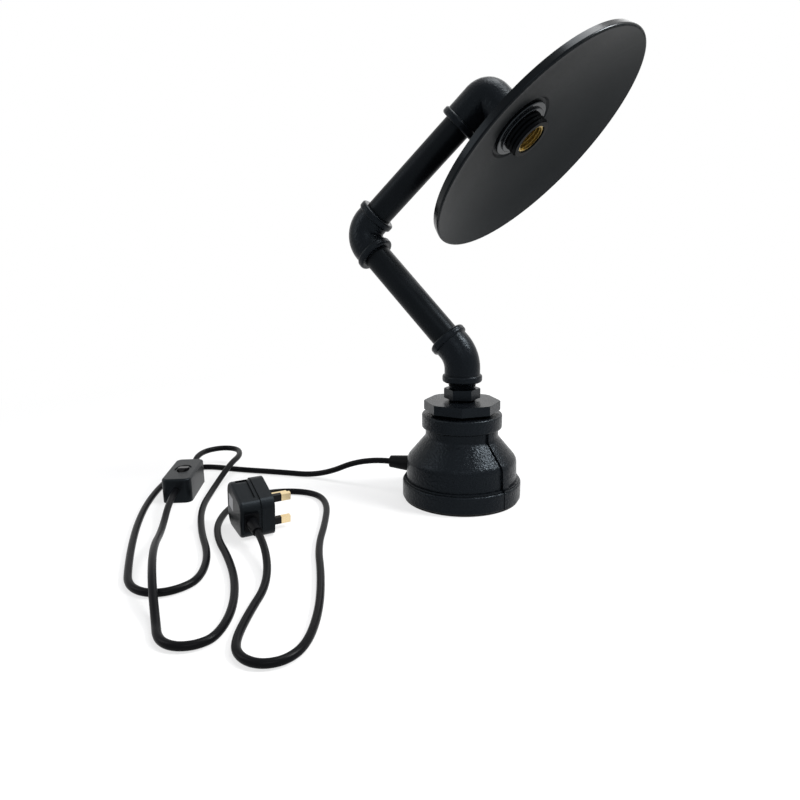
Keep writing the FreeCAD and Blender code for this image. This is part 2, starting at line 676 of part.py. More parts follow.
def centre_contact():
    """Centre contact: domed head in the well and a rivet through the stem."""
    radius = CONTACT_OD / 2
    return turned((0, stem_foot), (RIVET_OD / 2, stem_foot), (RIVET_OD / 2, well_floor),
                  (radius, well_floor), (radius, well_floor + CONTACT_HEIGHT, 0.8),
                  (0, well_floor + CONTACT_HEIGHT))


def holder_terminal(x):
    """Brass terminal block behind the stem, with holes for its wire and its screw."""
    half = TERMINAL_SIZE / 2
    body = block(x - half, x + half, -half, half, stem_foot - TERMINAL_SIZE, stem_foot)
    wire = rod(CORE_OD + 2 * THREAD_FIT, stem_foot - TERMINAL_SIZE,
               stem_foot - TERMINAL_SIZE / 2, x, 0)
    screw = Part.makeCylinder(TERMINAL_SCREW_OD / 2 + THREAD_FIT, half,
                              Vector(x, -half, stem_foot - half), Vector(0, 1, 0))
    return body.cut(wire.fuse(screw))


def holder_terminal_screw(x):
    """Small screw in the side of a terminal block."""
    start = Vector(x, -TERMINAL_SIZE / 2 - 0.8, stem_foot - TERMINAL_SIZE / 2)
    length = TERMINAL_SIZE / 2 + 0.8 - CORE_OD / 2 - THREAD_FIT
    screw = Part.makeCylinder(TERMINAL_SCREW_OD / 2, length, start, Vector(0, 1, 0))
    slot = block(x - 2, x + 2, start.y, start.y + 0.5, start.z - 0.25, start.z + 0.25)
    return screw.cut(slot)


def holder_core_wire(x):
    """Core from the end of the inner cord into one terminal block."""
    foot = stem_foot - TERMINAL_SIZE
    start = math.copysign(CORD_OD / 4, x)
    corners = [Vector(start, 0, wiring_end), Vector(start, 0, wiring_end + 1.5),
               Vector(x, 0, foot - 1), Vector(x, 0, foot + TERMINAL_SIZE / 2)]
    return core_wire(corners)


def shade_ring():
    """Ring that screws on the nose and clamps the shade."""
    foot = shade_seat + SHADE_THICKNESS
    hub = RING_HUB_OD / 2
    bore = NOSE_OD / 2 + THREAD_FIT
    return turned((bore, foot), (RING_OD / 2, foot), (RING_OD / 2, foot + RING_FLANGE, 1.0),
                  (hub, foot + RING_FLANGE), (hub, foot + RING_HEIGHT, 0.8),
                  (bore, foot + RING_HEIGHT))


def shade():
    """Dished steel shade: flat seat, small step round the ring, bowed flank and turned-back rim."""
    step = SHADE_SEAT_OD / 2
    low = shade_seat
    rim = SHADE_OD / 2
    edge = low + SHADE_DEPTH
    start = step + SHADE_SEAT_STEP
    raised = low + SHADE_SEAT_STEP
    middle = (start + rim) / 2
    bend = (raised + edge - SHADE_THICKNESS) / 2 - SHADE_BOW
    slope = (edge - SHADE_THICKNESS - bend) / (rim - middle)
    lean = SHADE_RIM_TAPER / SHADE_RIM
    inset = SHADE_THICKNESS * (1 + lean) / (1 - lean * slope)
    back = rim - SHADE_RIM_TAPER
    return turned((SHADE_HOLE / 2, low), (step, low), (start, raised), (middle, bend, SHADE_BEND),
                  (rim - inset, edge - SHADE_THICKNESS - slope * inset),
                  (back - SHADE_THICKNESS, edge - SHADE_RIM), (back, edge - SHADE_RIM),
                  (rim, edge, SHADE_FOLD), (middle, bend + SHADE_THICKNESS, SHADE_BEND),
                  (start, raised + SHADE_THICKNESS), (step, low + SHADE_THICKNESS),
                  (SHADE_HOLE / 2, low + SHADE_THICKNESS))


# ---------------------------------------------------------------- in-line switch, X along its length
switch_axis = heading(SWITCH_HEADING)
switch_place = frame(Vector(SWITCH_X, SWITCH_Y, 0), UP, switch_axis)
switch_seam = SWITCH_HEIGHT / 2
pivot_height = SWITCH_HEIGHT - ROCKER_PIVOT_DEPTH
lug_face = ROCKER_WIDTH / 2 + ROCKER_GAP
lug_back = lug_face + SWITCH_WALL
seesaw_top = SEESAW_PIVOT_HEIGHT + SEESAW_THICKNESS
terminal_x = SEESAW_LENGTH + 1.0


def switch_outline(inset):
    """Rounded rectangle of the case, set in all round."""
    x = SWITCH_LENGTH / 2 - inset
    y = SWITCH_WIDTH / 2 - inset
    corner = SWITCH_CORNER - inset
    return [(-x, -y, corner), (x, -y, corner), (x, y, corner), (-x, y, corner)]


def case_screw_spots():
    """Centres of the two case screws, across the case from each other."""
    return [(CASE_SCREW_X, CASE_SCREW_Y), (-CASE_SCREW_X, -CASE_SCREW_Y)]


def cord_holes():
    """Round holes for the cord through both end walls of the case."""
    return Part.makeCylinder(CORD_OD / 2 + THREAD_FIT, SWITCH_LENGTH,
                             Vector(-SWITCH_LENGTH / 2, 0, switch_seam), Vector(1, 0, 0))


def switch_cord_ends():
    """Ends of the two cords inside the case, up to where the sheath is stripped."""
    ends = []
    for x in (-SWITCH_LENGTH / 2, SWITCH_LENGTH / 2 - SHEATH_INSIDE):
        ends.append(Part.makeCylinder(CORD_OD / 2, SHEATH_INSIDE, Vector(x, 0, switch_seam),
                                      Vector(1, 0, 0)))
    return ends


def switch_cores():
    """The switched core's two ends, and the other two cores straight through the case."""
    strip = SWITCH_LENGTH / 2 - SHEATH_INSIDE
    bend = strip - CORE_OD
    face = terminal_x + TERMINAL_SIZE / 2
    high = switch_seam + 0.15 * CORD_OD
    middle = switch_seam - CORD_OD / 4
    low = SWITCH_WALL + TERMINAL_SIZE
    cores = []
    for side in (-1, 1):
        cores.append(core_wire([Vector(side * strip, 0, middle), Vector(side * bend, 0, middle),
                                Vector(side * (face + 1.5), 0, low), Vector(side * face, 0, low)]))
    for y in (-CORD_OD / 4, CORD_OD / 4):
        lane = math.copysign(SEESAW_WIDTH / 2 + CORE_OD + 1, y)
        cores.append(core_wire([Vector(-strip, y, high), Vector(-bend, y, high),
                                Vector(-SEESAW_LENGTH / 2, lane, high),
                                Vector(SEESAW_LENGTH / 2, lane, high),
                                Vector(bend, y, high), Vector(strip, y, high)]))
    return cores


def switch_base():
    """Lower half of the case, with a boss and a countersunk hole for each screw."""
    shell = prism(switch_outline(0), 0, switch_seam)
    shell = shell.cut(prism(switch_outline(SWITCH_WALL), SWITCH_WALL, switch_seam))
    for x, y in case_screw_spots():
        shell = shell.fuse(rod(BOSS_OD, SWITCH_WALL, switch_seam, x, y))
        shell = shell.cut(rod(CASE_SCREW_OD + 2 * THREAD_FIT, 0, switch_seam, x, y))
        shell = shell.cut(rod(CASE_SCREW_HEAD_OD + 2 * PLASTIC_GAP, 0,
                              CASE_SCREW_HEAD_HEIGHT + PLASTIC_GAP, x, y))
    return shell.cut(cord_holes()).removeSplitter()


def switch_cover():
    """Upper half: rounded top, recess and window for the rocker, and its bearing lugs."""
    top = SWITCH_HEIGHT
    shell = prism(switch_outline(0), switch_seam, top)
    rim = [edge for edge in shell.Edges if edge.BoundBox.ZMin > top - 0.01]
    shell = shell.makeFillet(SWITCH_EDGE, rim)
    shell = shell.cut(prism(switch_outline(SWITCH_WALL), switch_seam, top - SWITCH_WALL))
    shell = shell.cut(oval(RECESS_LENGTH, RECESS_WIDTH, top - RECESS_DEPTH, top))
    shell = shell.cut(oval(ROCKER_LENGTH + 2 * ROCKER_GAP, ROCKER_WIDTH + 2 * ROCKER_GAP,
                           switch_seam, top))
    lug_foot = pivot_height - ROCKER_PIN_OD
    for side in (-1, 1):
        y0, y1 = sorted((side * lug_face, side * lug_back))
        lug = block(-ROCKER_PIN_OD, ROCKER_PIN_OD, y0, y1, lug_foot, top - SWITCH_WALL)
        shell = shell.fuse(lug)
    shell = shell.cut(rocker_pin(2 * THREAD_FIT, lug_back))
    for x, y in case_screw_spots():
        shell = shell.fuse(rod(BOSS_OD, switch_seam, top - SWITCH_WALL, x, y))
        shell = shell.cut(rod(CASE_SCREW_OD + 2 * THREAD_FIT, switch_seam,
                              top - SWITCH_WALL - 1, x, y))
    return shell.cut(cord_holes()).removeSplitter()


def rocker_pin(extra, reach):
    """Cross pin of the rocker, or its hole with an extra diameter."""
    return Part.makeCylinder((ROCKER_PIN_OD + extra) / 2, 2 * reach,
                             Vector(0, -reach, pivot_height), Vector(0, 1, 0))


def switch_rocker():
    """Rocker with a hollowed top and ends curved about its pivot, tilted to one side."""
    top = SWITCH_HEIGHT + ROCKER_PROUD
    foot = pivot_height - ROCKER_PIN_OD
    sweep = Part.makeCylinder(ROCKER_LENGTH / 2, ROCKER_WIDTH,
                              Vector(0, -ROCKER_WIDTH / 2, pivot_height), Vector(0, 1, 0))
    hollow = 2.2 * ROCKER_LENGTH
    finger = Part.makeCylinder(hollow, ROCKER_WIDTH,
                               Vector(0, -ROCKER_WIDTH / 2, top + hollow - 0.7), Vector(0, 1, 0))
    key = oval(ROCKER_LENGTH, ROCKER_WIDTH, foot, top).common(sweep).cut(finger)
    plunger = rod(PLUNGER_OD, seesaw_top + ROCKER_GAP, foot)
    shape = key.fuse([rocker_pin(0, lug_back - THREAD_FIT), plunger]).removeSplitter()
    shape.rotate(Vector(0, 0, pivot_height), Vector(0, 1, 0), -ROCKER_TILT)
    return shape


def switch_seesaw():
    """Contact plate that tips on its knife edge the other way from the rocker."""
    x, y = SEESAW_LENGTH / 2, SEESAW_WIDTH / 2
    plate = block(-x, x, -y, y, SEESAW_PIVOT_HEIGHT, seesaw_top)
    plate.rotate(Vector(0, 0, SEESAW_PIVOT_HEIGHT), Vector(0, 1, 0), SEESAW_TILT)
    return plate


def terminal_with_strip(side, strip_end):
    """Screw terminal on the floor of the case, with a strip towards the middle."""
    half = TERMINAL_SIZE / 2
    x0, x1 = sorted((side * (terminal_x - half), side * (terminal_x + half)))
    body = block(x0, x1, -half, half, SWITCH_WALL, SWITCH_WALL + 1.4 * TERMINAL_SIZE)
    hole = rod(TERMINAL_SCREW_OD + 2 * THREAD_FIT, SWITCH_WALL + half,
               SWITCH_WALL + 1.4 * TERMINAL_SIZE, side * terminal_x, 0)
    s0, s1 = sorted((side * strip_end, side * terminal_x))
    strip = block(s0, s1, -SEESAW_WIDTH / 2, SEESAW_WIDTH / 2, SWITCH_WALL,
                  SWITCH_WALL + SEESAW_THICKNESS)
    return body.fuse(strip).cut(hole)


def switch_pivot_contact():
    """Terminal, strip and knife edge that carries the see-saw."""
    y = SEESAW_WIDTH / 2
    edge = SEESAW_PIVOT_HEIGHT - PLASTIC_GAP
    corners = [Vector(-2.5, -y, SWITCH_WALL), Vector(2.5, -y, SWITCH_WALL),
               Vector(0.3, -y, edge), Vector(-0.3, -y, edge)]
    wedge = Part.Face(rounded_wire(corners, [0] * 4, True)).extrude(Vector(0, 2 * y, 0))
    return terminal_with_strip(1, 0).fuse(wedge).removeSplitter()


def switch_fixed_contact():
    """Terminal, strip and the stud that the see-saw's end comes down on."""
    drop = SEESAW_LENGTH / 2 * math.sin(math.radians(SEESAW_TILT))
    stud_x = SEESAW_LENGTH / 2 - 1.5
    stud = rod(2.4, SWITCH_WALL, SEESAW_PIVOT_HEIGHT - drop - PLASTIC_GAP, -stud_x, 0)
    return terminal_with_strip(-1, stud_x).fuse(stud).removeSplitter()


def switch_terminal_screws():
    """The two terminal screws."""
    top = SWITCH_WALL + 1.4 * TERMINAL_SIZE
    screws = []
    for side in (-1, 1):
        screw = rod(TERMINAL_SCREW_OD, SWITCH_WALL + TERMINAL_SIZE * 0.6, top + 0.8,
                    side * terminal_x, 0)
        slot = block(-99, 99, -0.25, 0.25, top + 0.3, top + 0.8)
        screws.append(screw.cut(slot))
    return screws


def switch_case_screws():
    """The two screws that hold the case together, driven from below."""
    screws = []
    for x, y in case_screw_spots():
        head = rod(CASE_SCREW_HEAD_OD, PLASTIC_GAP, CASE_SCREW_HEAD_HEIGHT + PLASTIC_GAP, x, y)
        shank = rod(CASE_SCREW_OD, PLASTIC_GAP, SWITCH_HEIGHT - SWITCH_WALL - 3, x, y)
        slot = block(x - 99, x + 99, y - 0.4, y + 0.4, 0, PLASTIC_GAP + 0.6)
        screws.append(head.fuse(shank).cut(slot))
    return screws


# ---------------------------------------------------------------- plug, Z along its pins, Y to earth
plug_taper = math.atan((PLUG_TOP_WIDTH - PLUG_FOOT_WIDTH) / 2 / (PLUG_TOP + PLUG_FOOT))
plug_lie = heading(PLUG_HEADING + 90)
plug_side = PLUG_TOP_WIDTH / 2 * math.cos(plug_taper) - PLUG_TOP * math.sin(plug_taper)
plug_place = frame(Vector(PLUG_X, PLUG_Y, plug_side), heading(PLUG_HEADING),
                   plug_lie * math.sin(plug_taper) - UP * math.cos(plug_taper))
pin_x = PIN_SPACING / 2
pin_y = EARTH_PIN_RISE / 2
plug_back = -PLUG_FRONT_DEPTH - PLUG_BACK_DEPTH
front_inside = -PLUG_WALL - 0.6
fuse_foot = -pin_y + PIN_SHORT / 2 + 2.6
fuse_z = front_inside - FUSE_OD / 2 - 0.9
boot_z = -PLUG_FRONT_DEPTH - PLUG_BACK_DEPTH / 2
cover_foot = -PLUG_FOOT + PLUG_BACK_INSET
boot_tip = cover_foot - BOOT_FLANGE - BOOT_LENGTH
plug_screw_y = -1.0
sheath_end = cover_foot + PLUG_WALL + 9


def plug_outline(inset):
    """Outline of the plug, wide at the earth pin, set in all round."""
    top, foot = PLUG_TOP_WIDTH / 2 - inset, PLUG_FOOT_WIDTH / 2 - inset
    high, low = PLUG_TOP - inset, -PLUG_FOOT + inset
    big, small = PLUG_TOP_ROUND - inset, PLUG_FOOT_ROUND - inset
    return [(-foot, low, small), (foot, low, small), (top, high, big), (-top, high, big)]


def flat_bar(x, y, long_x, long_y, z0, z1):
    """Flat bar along Z about a centre."""
    return block(x - long_x / 2, x + long_x / 2, y - long_y / 2, y + long_y / 2, z0, z1)


def pin_bars(gap):
    """The three pins as plain bars: live, neutral, earth."""
    g = 2 * gap
    return [flat_bar(pin_x, -pin_y, PIN_LONG + g, PIN_SHORT + g, -PIN_ROOT, PIN_LENGTH),
            flat_bar(-pin_x, -pin_y, PIN_LONG + g, PIN_SHORT + g, -PIN_ROOT, PIN_LENGTH),
            flat_bar(0, pin_y, PIN_SHORT + g, EARTH_PIN_LONG + g, -PIN_ROOT, EARTH_PIN_LENGTH)]


def carrier_block(gap):
    """Cover over the fuse, flush with the pin face."""
    half = CARRIER_WIDTH / 2 + gap
    return block(pin_x - half, pin_x + half, fuse_foot - CARRIER_MARGIN / 2 - gap,
                 fuse_foot + FUSE_LENGTH + CARRIER_MARGIN + gap, front_inside, 0)


def plug_front():
    """Front half of the plug body, with the pin holes and the fuse window."""
    shell = prism(plug_outline(0), -PLUG_FRONT_DEPTH, 0)
    shell = shell.cut(prism(plug_outline(PLUG_WALL), -PLUG_FRONT_DEPTH, front_inside))
    shell = shell.fuse(rod(8, -PLUG_FRONT_DEPTH, front_inside, 0, plug_screw_y))
    for bar in pin_bars(PLASTIC_GAP / 2) + [carrier_block(PLASTIC_GAP)]:
        shell = shell.cut(bar)
    shell = shell.cut(rod(3 + 2 * THREAD_FIT, -PLUG_FRONT_DEPTH, 0, 0, plug_screw_y))
    return shell.cut(rod(6.2, -2.4, 0, 0, plug_screw_y)).removeSplitter()


def plug_cover():
    """Back half: rounded edges, finger grips, label seat and the hole for the boot."""
    seam = -PLUG_FRONT_DEPTH
    shell = prism(plug_outline(PLUG_BACK_INSET), plug_back, seam)
    rim = [edge for edge in shell.Edges if edge.BoundBox.ZMax < plug_back + 0.01]
    shell = shell.makeFillet(PLUG_BACK_ROUND, rim)
    ring = prism(plug_outline(-1), plug_back + 5, seam - 1).cut(
        prism(plug_outline(PLUG_BACK_INSET + GRIP_RECESS_DEPTH), plug_back + 5, seam - 1))
    middle = (plug_back + seam) / 2
    grips = block(-PLUG_TOP_WIDTH, PLUG_TOP_WIDTH, -GRIP_RECESS_LENGTH / 2,
                  GRIP_RECESS_LENGTH / 2, middle - GRIP_RECESS_WIDTH / 2,
                  middle + GRIP_RECESS_WIDTH / 2)
    shell = shell.cut(ring.common(grips))
    inside = PLUG_BACK_INSET + PLUG_WALL
    shell = shell.cut(prism(plug_outline(inside), plug_back + PLUG_WALL, seam))
    shell = shell.fuse(rod(7, plug_back + PLUG_WALL, seam, 0, plug_screw_y))
    shell = shell.cut(rod(3 + 2 * THREAD_FIT, plug_back + 4, seam, 0, plug_screw_y))
    shell = shell.cut(label_plate_block(PLASTIC_GAP))
    return shell.cut(boot_spigot(2 * THREAD_FIT)).removeSplitter()


def label_plate_block(gap):
    """Blank plate let into the back of the plug."""
    x, y = -4.0, PLUG_TOP - LABEL_HEIGHT - 2
    half = LABEL_WIDTH / 2 + gap
    return block(x - half, x + half, y - LABEL_HEIGHT / 2 - gap, y + LABEL_HEIGHT / 2 + gap,
                 plug_back, plug_back + LABEL_THICKNESS)


def boot_spigot(extra):
    """Part of the boot inside the cover, or its hole with an extra diameter."""
    return Part.makeCylinder((BOOT_TIP_OD + extra) / 2, PLUG_WALL + 2,
                             Vector(0, cover_foot, boot_z), Vector(0, 1, 0))


def plug_boot():
    """Strain relief: flange on the cover and a tapered boot down to the cord."""
    flange = block(-BOOT_FLANGE_WIDTH / 2, BOOT_FLANGE_WIDTH / 2, cover_foot - BOOT_FLANGE,
                   cover_foot, boot_z - BOOT_FLANGE_DEPTH / 2, boot_z + BOOT_FLANGE_DEPTH / 2)
    cone = Part.makeCone(BOOT_OD / 2, BOOT_TIP_OD / 2, BOOT_LENGTH,
                         Vector(0, cover_foot - BOOT_FLANGE, boot_z), Vector(0, -1, 0))
    boot = flange.fuse([cone, boot_spigot(0)])
    return boot.cut(plug_sheath(2 * THREAD_FIT, 0)).removeSplitter()


def power_pin(side):
    """Live or neutral pin, thinner under its sleeve."""
    bar = pin_bars(0)[0 if side > 0 else 1]
    x = side * pin_x
    ring = flat_bar(x, -pin_y, PIN_LONG, PIN_SHORT, 0, SLEEVE_LENGTH).cut(flat_bar(
        x, -pin_y, PIN_LONG - 2 * SLEEVE_WALL, PIN_SHORT - 2 * SLEEVE_WALL, 0, SLEEVE_LENGTH))
    return bar.cut(ring)


def pin_sleeve(side):
    """Insulating sleeve on the root of a power pin."""
    x = side * pin_x
    outer = flat_bar(x, -pin_y, PIN_LONG, PIN_SHORT, 0, SLEEVE_LENGTH)
    return outer.cut(flat_bar(x, -pin_y, PIN_LONG - 2 * SLEEVE_WALL, PIN_SHORT - 2 * SLEEVE_WALL,
                              0, SLEEVE_LENGTH))


def along_y(diameter, y0, y1):
    """Round bar on the fuse's axis."""
    return Part.makeCylinder(diameter / 2, y1 - y0, Vector(pin_x, y0, fuse_z), Vector(0, 1, 0))


def fuse_clip(y0, y1):
    """Clip open towards the carrier, round one end of the fuse."""
    half = FUSE_OD / 2 + 0.7
    body = block(pin_x - half, pin_x + half, y0, y1, fuse_z - half, front_inside)
    gap = FUSE_OD + 2 * THREAD_FIT
    mouth_cut = block(pin_x - gap / 2, pin_x + gap / 2, y0, y1, fuse_z, front_inside)
    return body.cut(along_y(gap, y0, y1)).cut(mouth_cut)


def fuse_clips():
    """Clip that reaches the live pin, and clip at the far end of the fuse."""
    near = fuse_clip(-pin_y + PIN_SHORT / 2, fuse_foot + 5)
    far_end = fuse_foot + FUSE_LENGTH
    return [near, fuse_clip(far_end - 5, far_end)]


def plug_terminal_screw(x, y):
    """Screw in the root of a pin."""
    return rod(3.6, -PIN_ROOT - 1.6, -PIN_ROOT, x, y)


def plug_cord_grip():
    """Bar on the inside of the cover that clamps the cord."""
    y = cover_foot + PLUG_WALL + 3
    return block(-8, 8, y, y + 5, plug_back + PLUG_WALL, boot_z - CORD_OD / 2)


def plug_sheath(extra, y_end):
    """Cord from the tip of the boot to a point inside, or its hole with an extra diameter."""
    return Part.makeCylinder((CORD_OD + extra) / 2, y_end - boot_tip,
                             Vector(0, boot_tip, boot_z), Vector(0, 1, 0))


def plug_cores():
    """Live core to the fuse, neutral and earth cores to the screws of their pins."""
    start, side = sheath_end, CORD_OD / 4
    foot = -PIN_ROOT - 1.6
    run = boot_z + 2
    live_end = fuse_foot + FUSE_LENGTH
    live = [Vector(side, start, boot_z), Vector(side, start + 2, boot_z),
            Vector(pin_x, -5, run), Vector(pin_x, live_end - 6, run),
            Vector(pin_x, live_end - 2.5, fuse_z - FUSE_OD / 2 - 2.5),
            Vector(pin_x, live_end - 2.5, fuse_z - FUSE_OD / 2 - 0.7)]
    neutral = [Vector(-side, start, boot_z), Vector(-side, start + 2, boot_z),
               Vector(-pin_x, -pin_y, boot_z), Vector(-pin_x, -pin_y, foot)]
    earth = [Vector(0, start, boot_z + side), Vector(0, start + 2, boot_z + side),
             Vector(-6.5, -2, run), Vector(-5, 6, run), Vector(0, pin_y, run),
             Vector(0, pin_y, foot)]
    return [core_wire(corners) for corners in (live, neutral, earth)]


def plug_cover_screw():
    """Screw through the front into the cover's boss."""
    head = rod(6, -2.4, -0.6, 0, plug_screw_y)
    shank = rod(3, plug_back + 6, -2.4, 0, plug_screw_y)
    slot = block(-9, 9, plug_screw_y - 0.5, plug_screw_y + 0.5, -1.2, -0.6)
    return head.fuse(shank).cut(slot)


# ---------------------------------------------------------------- cord on the surface
floor_line = CORD_OD / 2 + CORD_RAISE
lamp_hump = 16.5            # centre of the cord where it passes over itself behind the switch
front_hump = 15.5           # and where the plug's cord passes over it in front


def cord_tube(name, points):
    """Tube along straight runs joined by tangent arcs, checked against its length."""
    radii = [0] * len(points)
    for i in range(1, len(points) - 1):
        before, after = points[i] - points[i - 1], points[i + 1] - points[i]
        half_turn = before.getAngle(after) / 2
        radii[i] = ARC_SHARE * min(before.Length, after.Length) / math.tan(half_turn)
    path = rounded_wire(points, radii, False)
    section = Part.Wire(Part.Circle(points[0], points[1] - points[0], CORD_OD / 2).toShape())
    solid = path.makePipeShell([section], True, False)
    ideal = math.pi * (CORD_OD / 2) ** 2 * path.Length
    print(name, "length", round(path.Length), "volume ratio", round(solid.Volume / ideal, 4))
    print(name, "radii", [round(radius) for radius in radii[1:-1]])
    return solid


def lamp_cord():
    """From the base's grip, round the switch's left side and in at its far end."""
    entry = switch_place.multVec(Vector(-SWITCH_LENGTH / 2, 0, switch_seam))
    low, high = floor_line, lamp_hump
    return cord_tube("cord_lamp_to_switch", [
        grip_place.multVec(UP * grip_tip), grip_place.multVec(UP * (grip_tip + 30)),
        Vector(-149, 39, low), Vector(-199, 48, low), Vector(-244, 53, low), Vector(-281, 62, low),
        Vector(-302, 53, low), Vector(-309, 28, low), Vector(-307, -8, low), Vector(-299, -52, low),
        Vector(-285, -98, low), Vector(-267, -144, low), Vector(-250, -182, low),
        Vector(-240, -202, low), Vector(-227, -213, low), Vector(-211, -215, low),
        Vector(-197, -206, low), Vector(-190, -190, low), Vector(-198, -154, low),
        Vector(-222, -110, low), Vector(-242, -60, low), Vector(-250, -10, low),
        Vector(-246, 34, high), Vector(-245, 62, high), Vector(-255, 86, high),
        Vector(-275, 91, high), Vector(-291, 77, high), Vector(-292, 53, high),
        entry - switch_axis * 14, entry])


def plug_cord():
    """From the near end of the switch, over the other cord and round the plug to its boot."""
    start = switch_place.multVec(Vector(SWITCH_LENGTH / 2, 0, switch_seam))
    low, high = floor_line, front_hump
    boot = Vector(0, boot_tip, boot_z)
    return cord_tube("cord_switch_to_plug", [
        start, start + switch_axis * 24, Vector(-256, -112, low), Vector(-236, -168, high),
        Vector(-213, -218, high), Vector(-196, -250, low), Vector(-186, -269, low),
        Vector(-173, -276, low), Vector(-159, -273, low), Vector(-150, -262, low),
        Vector(-151, -231, low), Vector(-163, -192, low), Vector(-182, -155, low),
        Vector(-202, -124, low), Vector(-215, -90, low), Vector(-216, -50, low),
        Vector(-200, -19, low), Vector(-172, -8, low), Vector(-142, -14, low),
        Vector(-126, -40, low), Vector(-119, -84, low), Vector(-115, -132, low),
        Vector(-102, -180, low), Vector(-93, -228, low), Vector(-92, -266, low),
        Vector(-100, -283, low), Vector(-114, -289, low), Vector(-128, -284, low),
        Vector(-137, -270, low), Vector(-139, -236, low), Vector(-138, -194, low),
        plug_place.multVec(boot - Vector(0, 23, 0)), plug_place.multVec(boot)])


# ---------------------------------------------------------------- nodes
middle_joint = ELBOW_90_REACH - THREAD_GRIP     # where the inner cord of one limb ends
top_joint = TOP_ELBOW_REACH - THREAD_GRIP
grip_bore_end = grip_seat_out + GRIP_LENGTH / 2

save("base_pad", base_pad())
save("base_reducer", base_reducer())
save("octagon_bushing", octagon_bushing())
save("hex_nipple", hex_nipple())
save("base_cord_grip", put(base_cord_grip(), grip_place))
save("base_grip_nut", put(base_grip_nut(), grip_place))
save("earth_lug", put(earth_lug(), earth_place))
save("earth_screw", put(earth_screw(), earth_place))
save("earth_core", put(earth_core(), earth_place))
save("base_wiring", wiring(grip_place.multVec(UP * grip_bore_end), UP * GRIP_HEIGHT,
                           UP * (elbow_mouth + THREAD_GRIP)))

save("lower_elbow_45", put(elbow(FITTING_BODY_OD, BEAD_OD, ELBOW_45_REACH, ELBOW_45_REACH,
                                 ELBOW_45_BEND, ARM_LEAN), lower_elbow_place))
lower_pipe_foot = lower_corner + lower_axis * (ELBOW_45_REACH - THREAD_GRIP)
save("lower_pipe", put(pipe(LOWER_PIPE_LENGTH), frame(lower_pipe_foot, lower_axis, upright)))
lower_run = (middle_corner - lower_corner).Length - middle_joint
save("lower_arm_wiring", elbow_wiring(lower_elbow_place, ARM_LEAN,
                                      ELBOW_45_REACH - THREAD_GRIP, lower_run))

save("middle_elbow_90", put(elbow(FITTING_BODY_OD, BEAD_OD, ELBOW_90_REACH, ELBOW_90_REACH,
                                  ELBOW_90_BEND, 90), middle_elbow_place))
upper_pipe_foot = middle_corner + upper_axis * (ELBOW_90_REACH - THREAD_GRIP)
save("upper_pipe", put(pipe(UPPER_PIPE_LENGTH), frame(upper_pipe_foot, upper_axis, head_axis)))
upper_run = (top_corner - middle_corner).Length - top_joint
save("upper_arm_wiring", elbow_wiring(middle_elbow_place, 90, middle_joint, upper_run))

save("top_elbow_90", put(elbow(TOP_ELBOW_BODY_OD, TOP_ELBOW_BEAD_OD, TOP_ELBOW_REACH,
                               HEAD_REACH, TOP_ELBOW_BEND, 90), top_elbow_place))
save("head_wiring", elbow_wiring(top_elbow_place, 90, top_joint, wiring_end))
live_x, neutral_x = -TERMINAL_SIZE / 2 - 1.1, TERMINAL_OFFSET
terminals = [holder_terminal(x) for x in (live_x, neutral_x)]
terminal_screws = [holder_terminal_screw(x) for x in (live_x, neutral_x)]
for node, piece in (("holder_adaptor", holder_adaptor()), ("holder_cap", holder_cap()),
                    ("holder_body", holder_body()), ("holder_core", holder_core()),
                    ("screw_shell", screw_shell()), ("centre_contact", centre_contact()),
                    ("shade_ring", shade_ring()), ("shade", shade())):
    save(node, put(piece, head_place))
save("holder_terminals", *[put(piece, head_place) for piece in terminals])
save("holder_terminal_screws", *[put(piece, head_place) for piece in terminal_screws])
save("holder_cores", *[put(holder_core_wire(x), head_place) for x in (live_x, neutral_x)])

for node, piece in (("switch_base", switch_base()), ("switch_cover", switch_cover()),
                    ("switch_rocker", switch_rocker()), ("switch_seesaw", switch_seesaw()),
                    ("switch_pivot_contact", switch_pivot_contact()),
                    ("switch_fixed_contact", switch_fixed_contact())):
    save(node, put(piece, switch_place))
save("switch_terminal_screws", *[put(piece, switch_place) for piece in switch_terminal_screws()])
save("switch_case_screws", *[put(piece, switch_place) for piece in switch_case_screws()])
save("switch_cord_ends", *[put(piece, switch_place) for piece in switch_cord_ends()])
save("switch_cores", *[put(piece, switch_place) for piece in switch_cores()])

for node, piece in (("plug_front", plug_front()), ("plug_cover", plug_cover()),
                    ("plug_label_plate", label_plate_block(0)), ("plug_boot", plug_boot()),
                    ("plug_earth_pin", pin_bars(0)[2]), ("plug_live_pin", power_pin(1)),
                    ("plug_neutral_pin", power_pin(-1)), ("plug_cord_grip", plug_cord_grip()),
                    ("plug_fuse", along_y(FUSE_OD, fuse_foot, fuse_foot + FUSE_LENGTH)),
                    ("plug_fuse_carrier", carrier_block(0)),
                    ("plug_cover_screw", plug_cover_screw())):
    save(node, put(piece, plug_place))
save("plug_pin_sleeves", *[put(pin_sleeve(side), plug_place) for side in (1, -1)])
save("plug_cord_end", put(plug_sheath(0, sheath_end), plug_place))
save("plug_cores", *[put(piece, plug_place) for piece in plug_cores()])
save("plug_fuse_clips", *[put(piece, plug_place) for piece in fuse_clips()])
save("plug_terminal_screws", *[put(plug_terminal_screw(x, y), plug_place)
                               for x, y in ((-pin_x, -pin_y), (0, pin_y))])

save("cord_lamp_to_switch", lamp_cord())
save("cord_switch_to_plug", plug_cord())
print("corners", lower_corner, middle_corner, top_corner)
print("axes", lower_axis, upper_axis, head_axis)
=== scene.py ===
import json

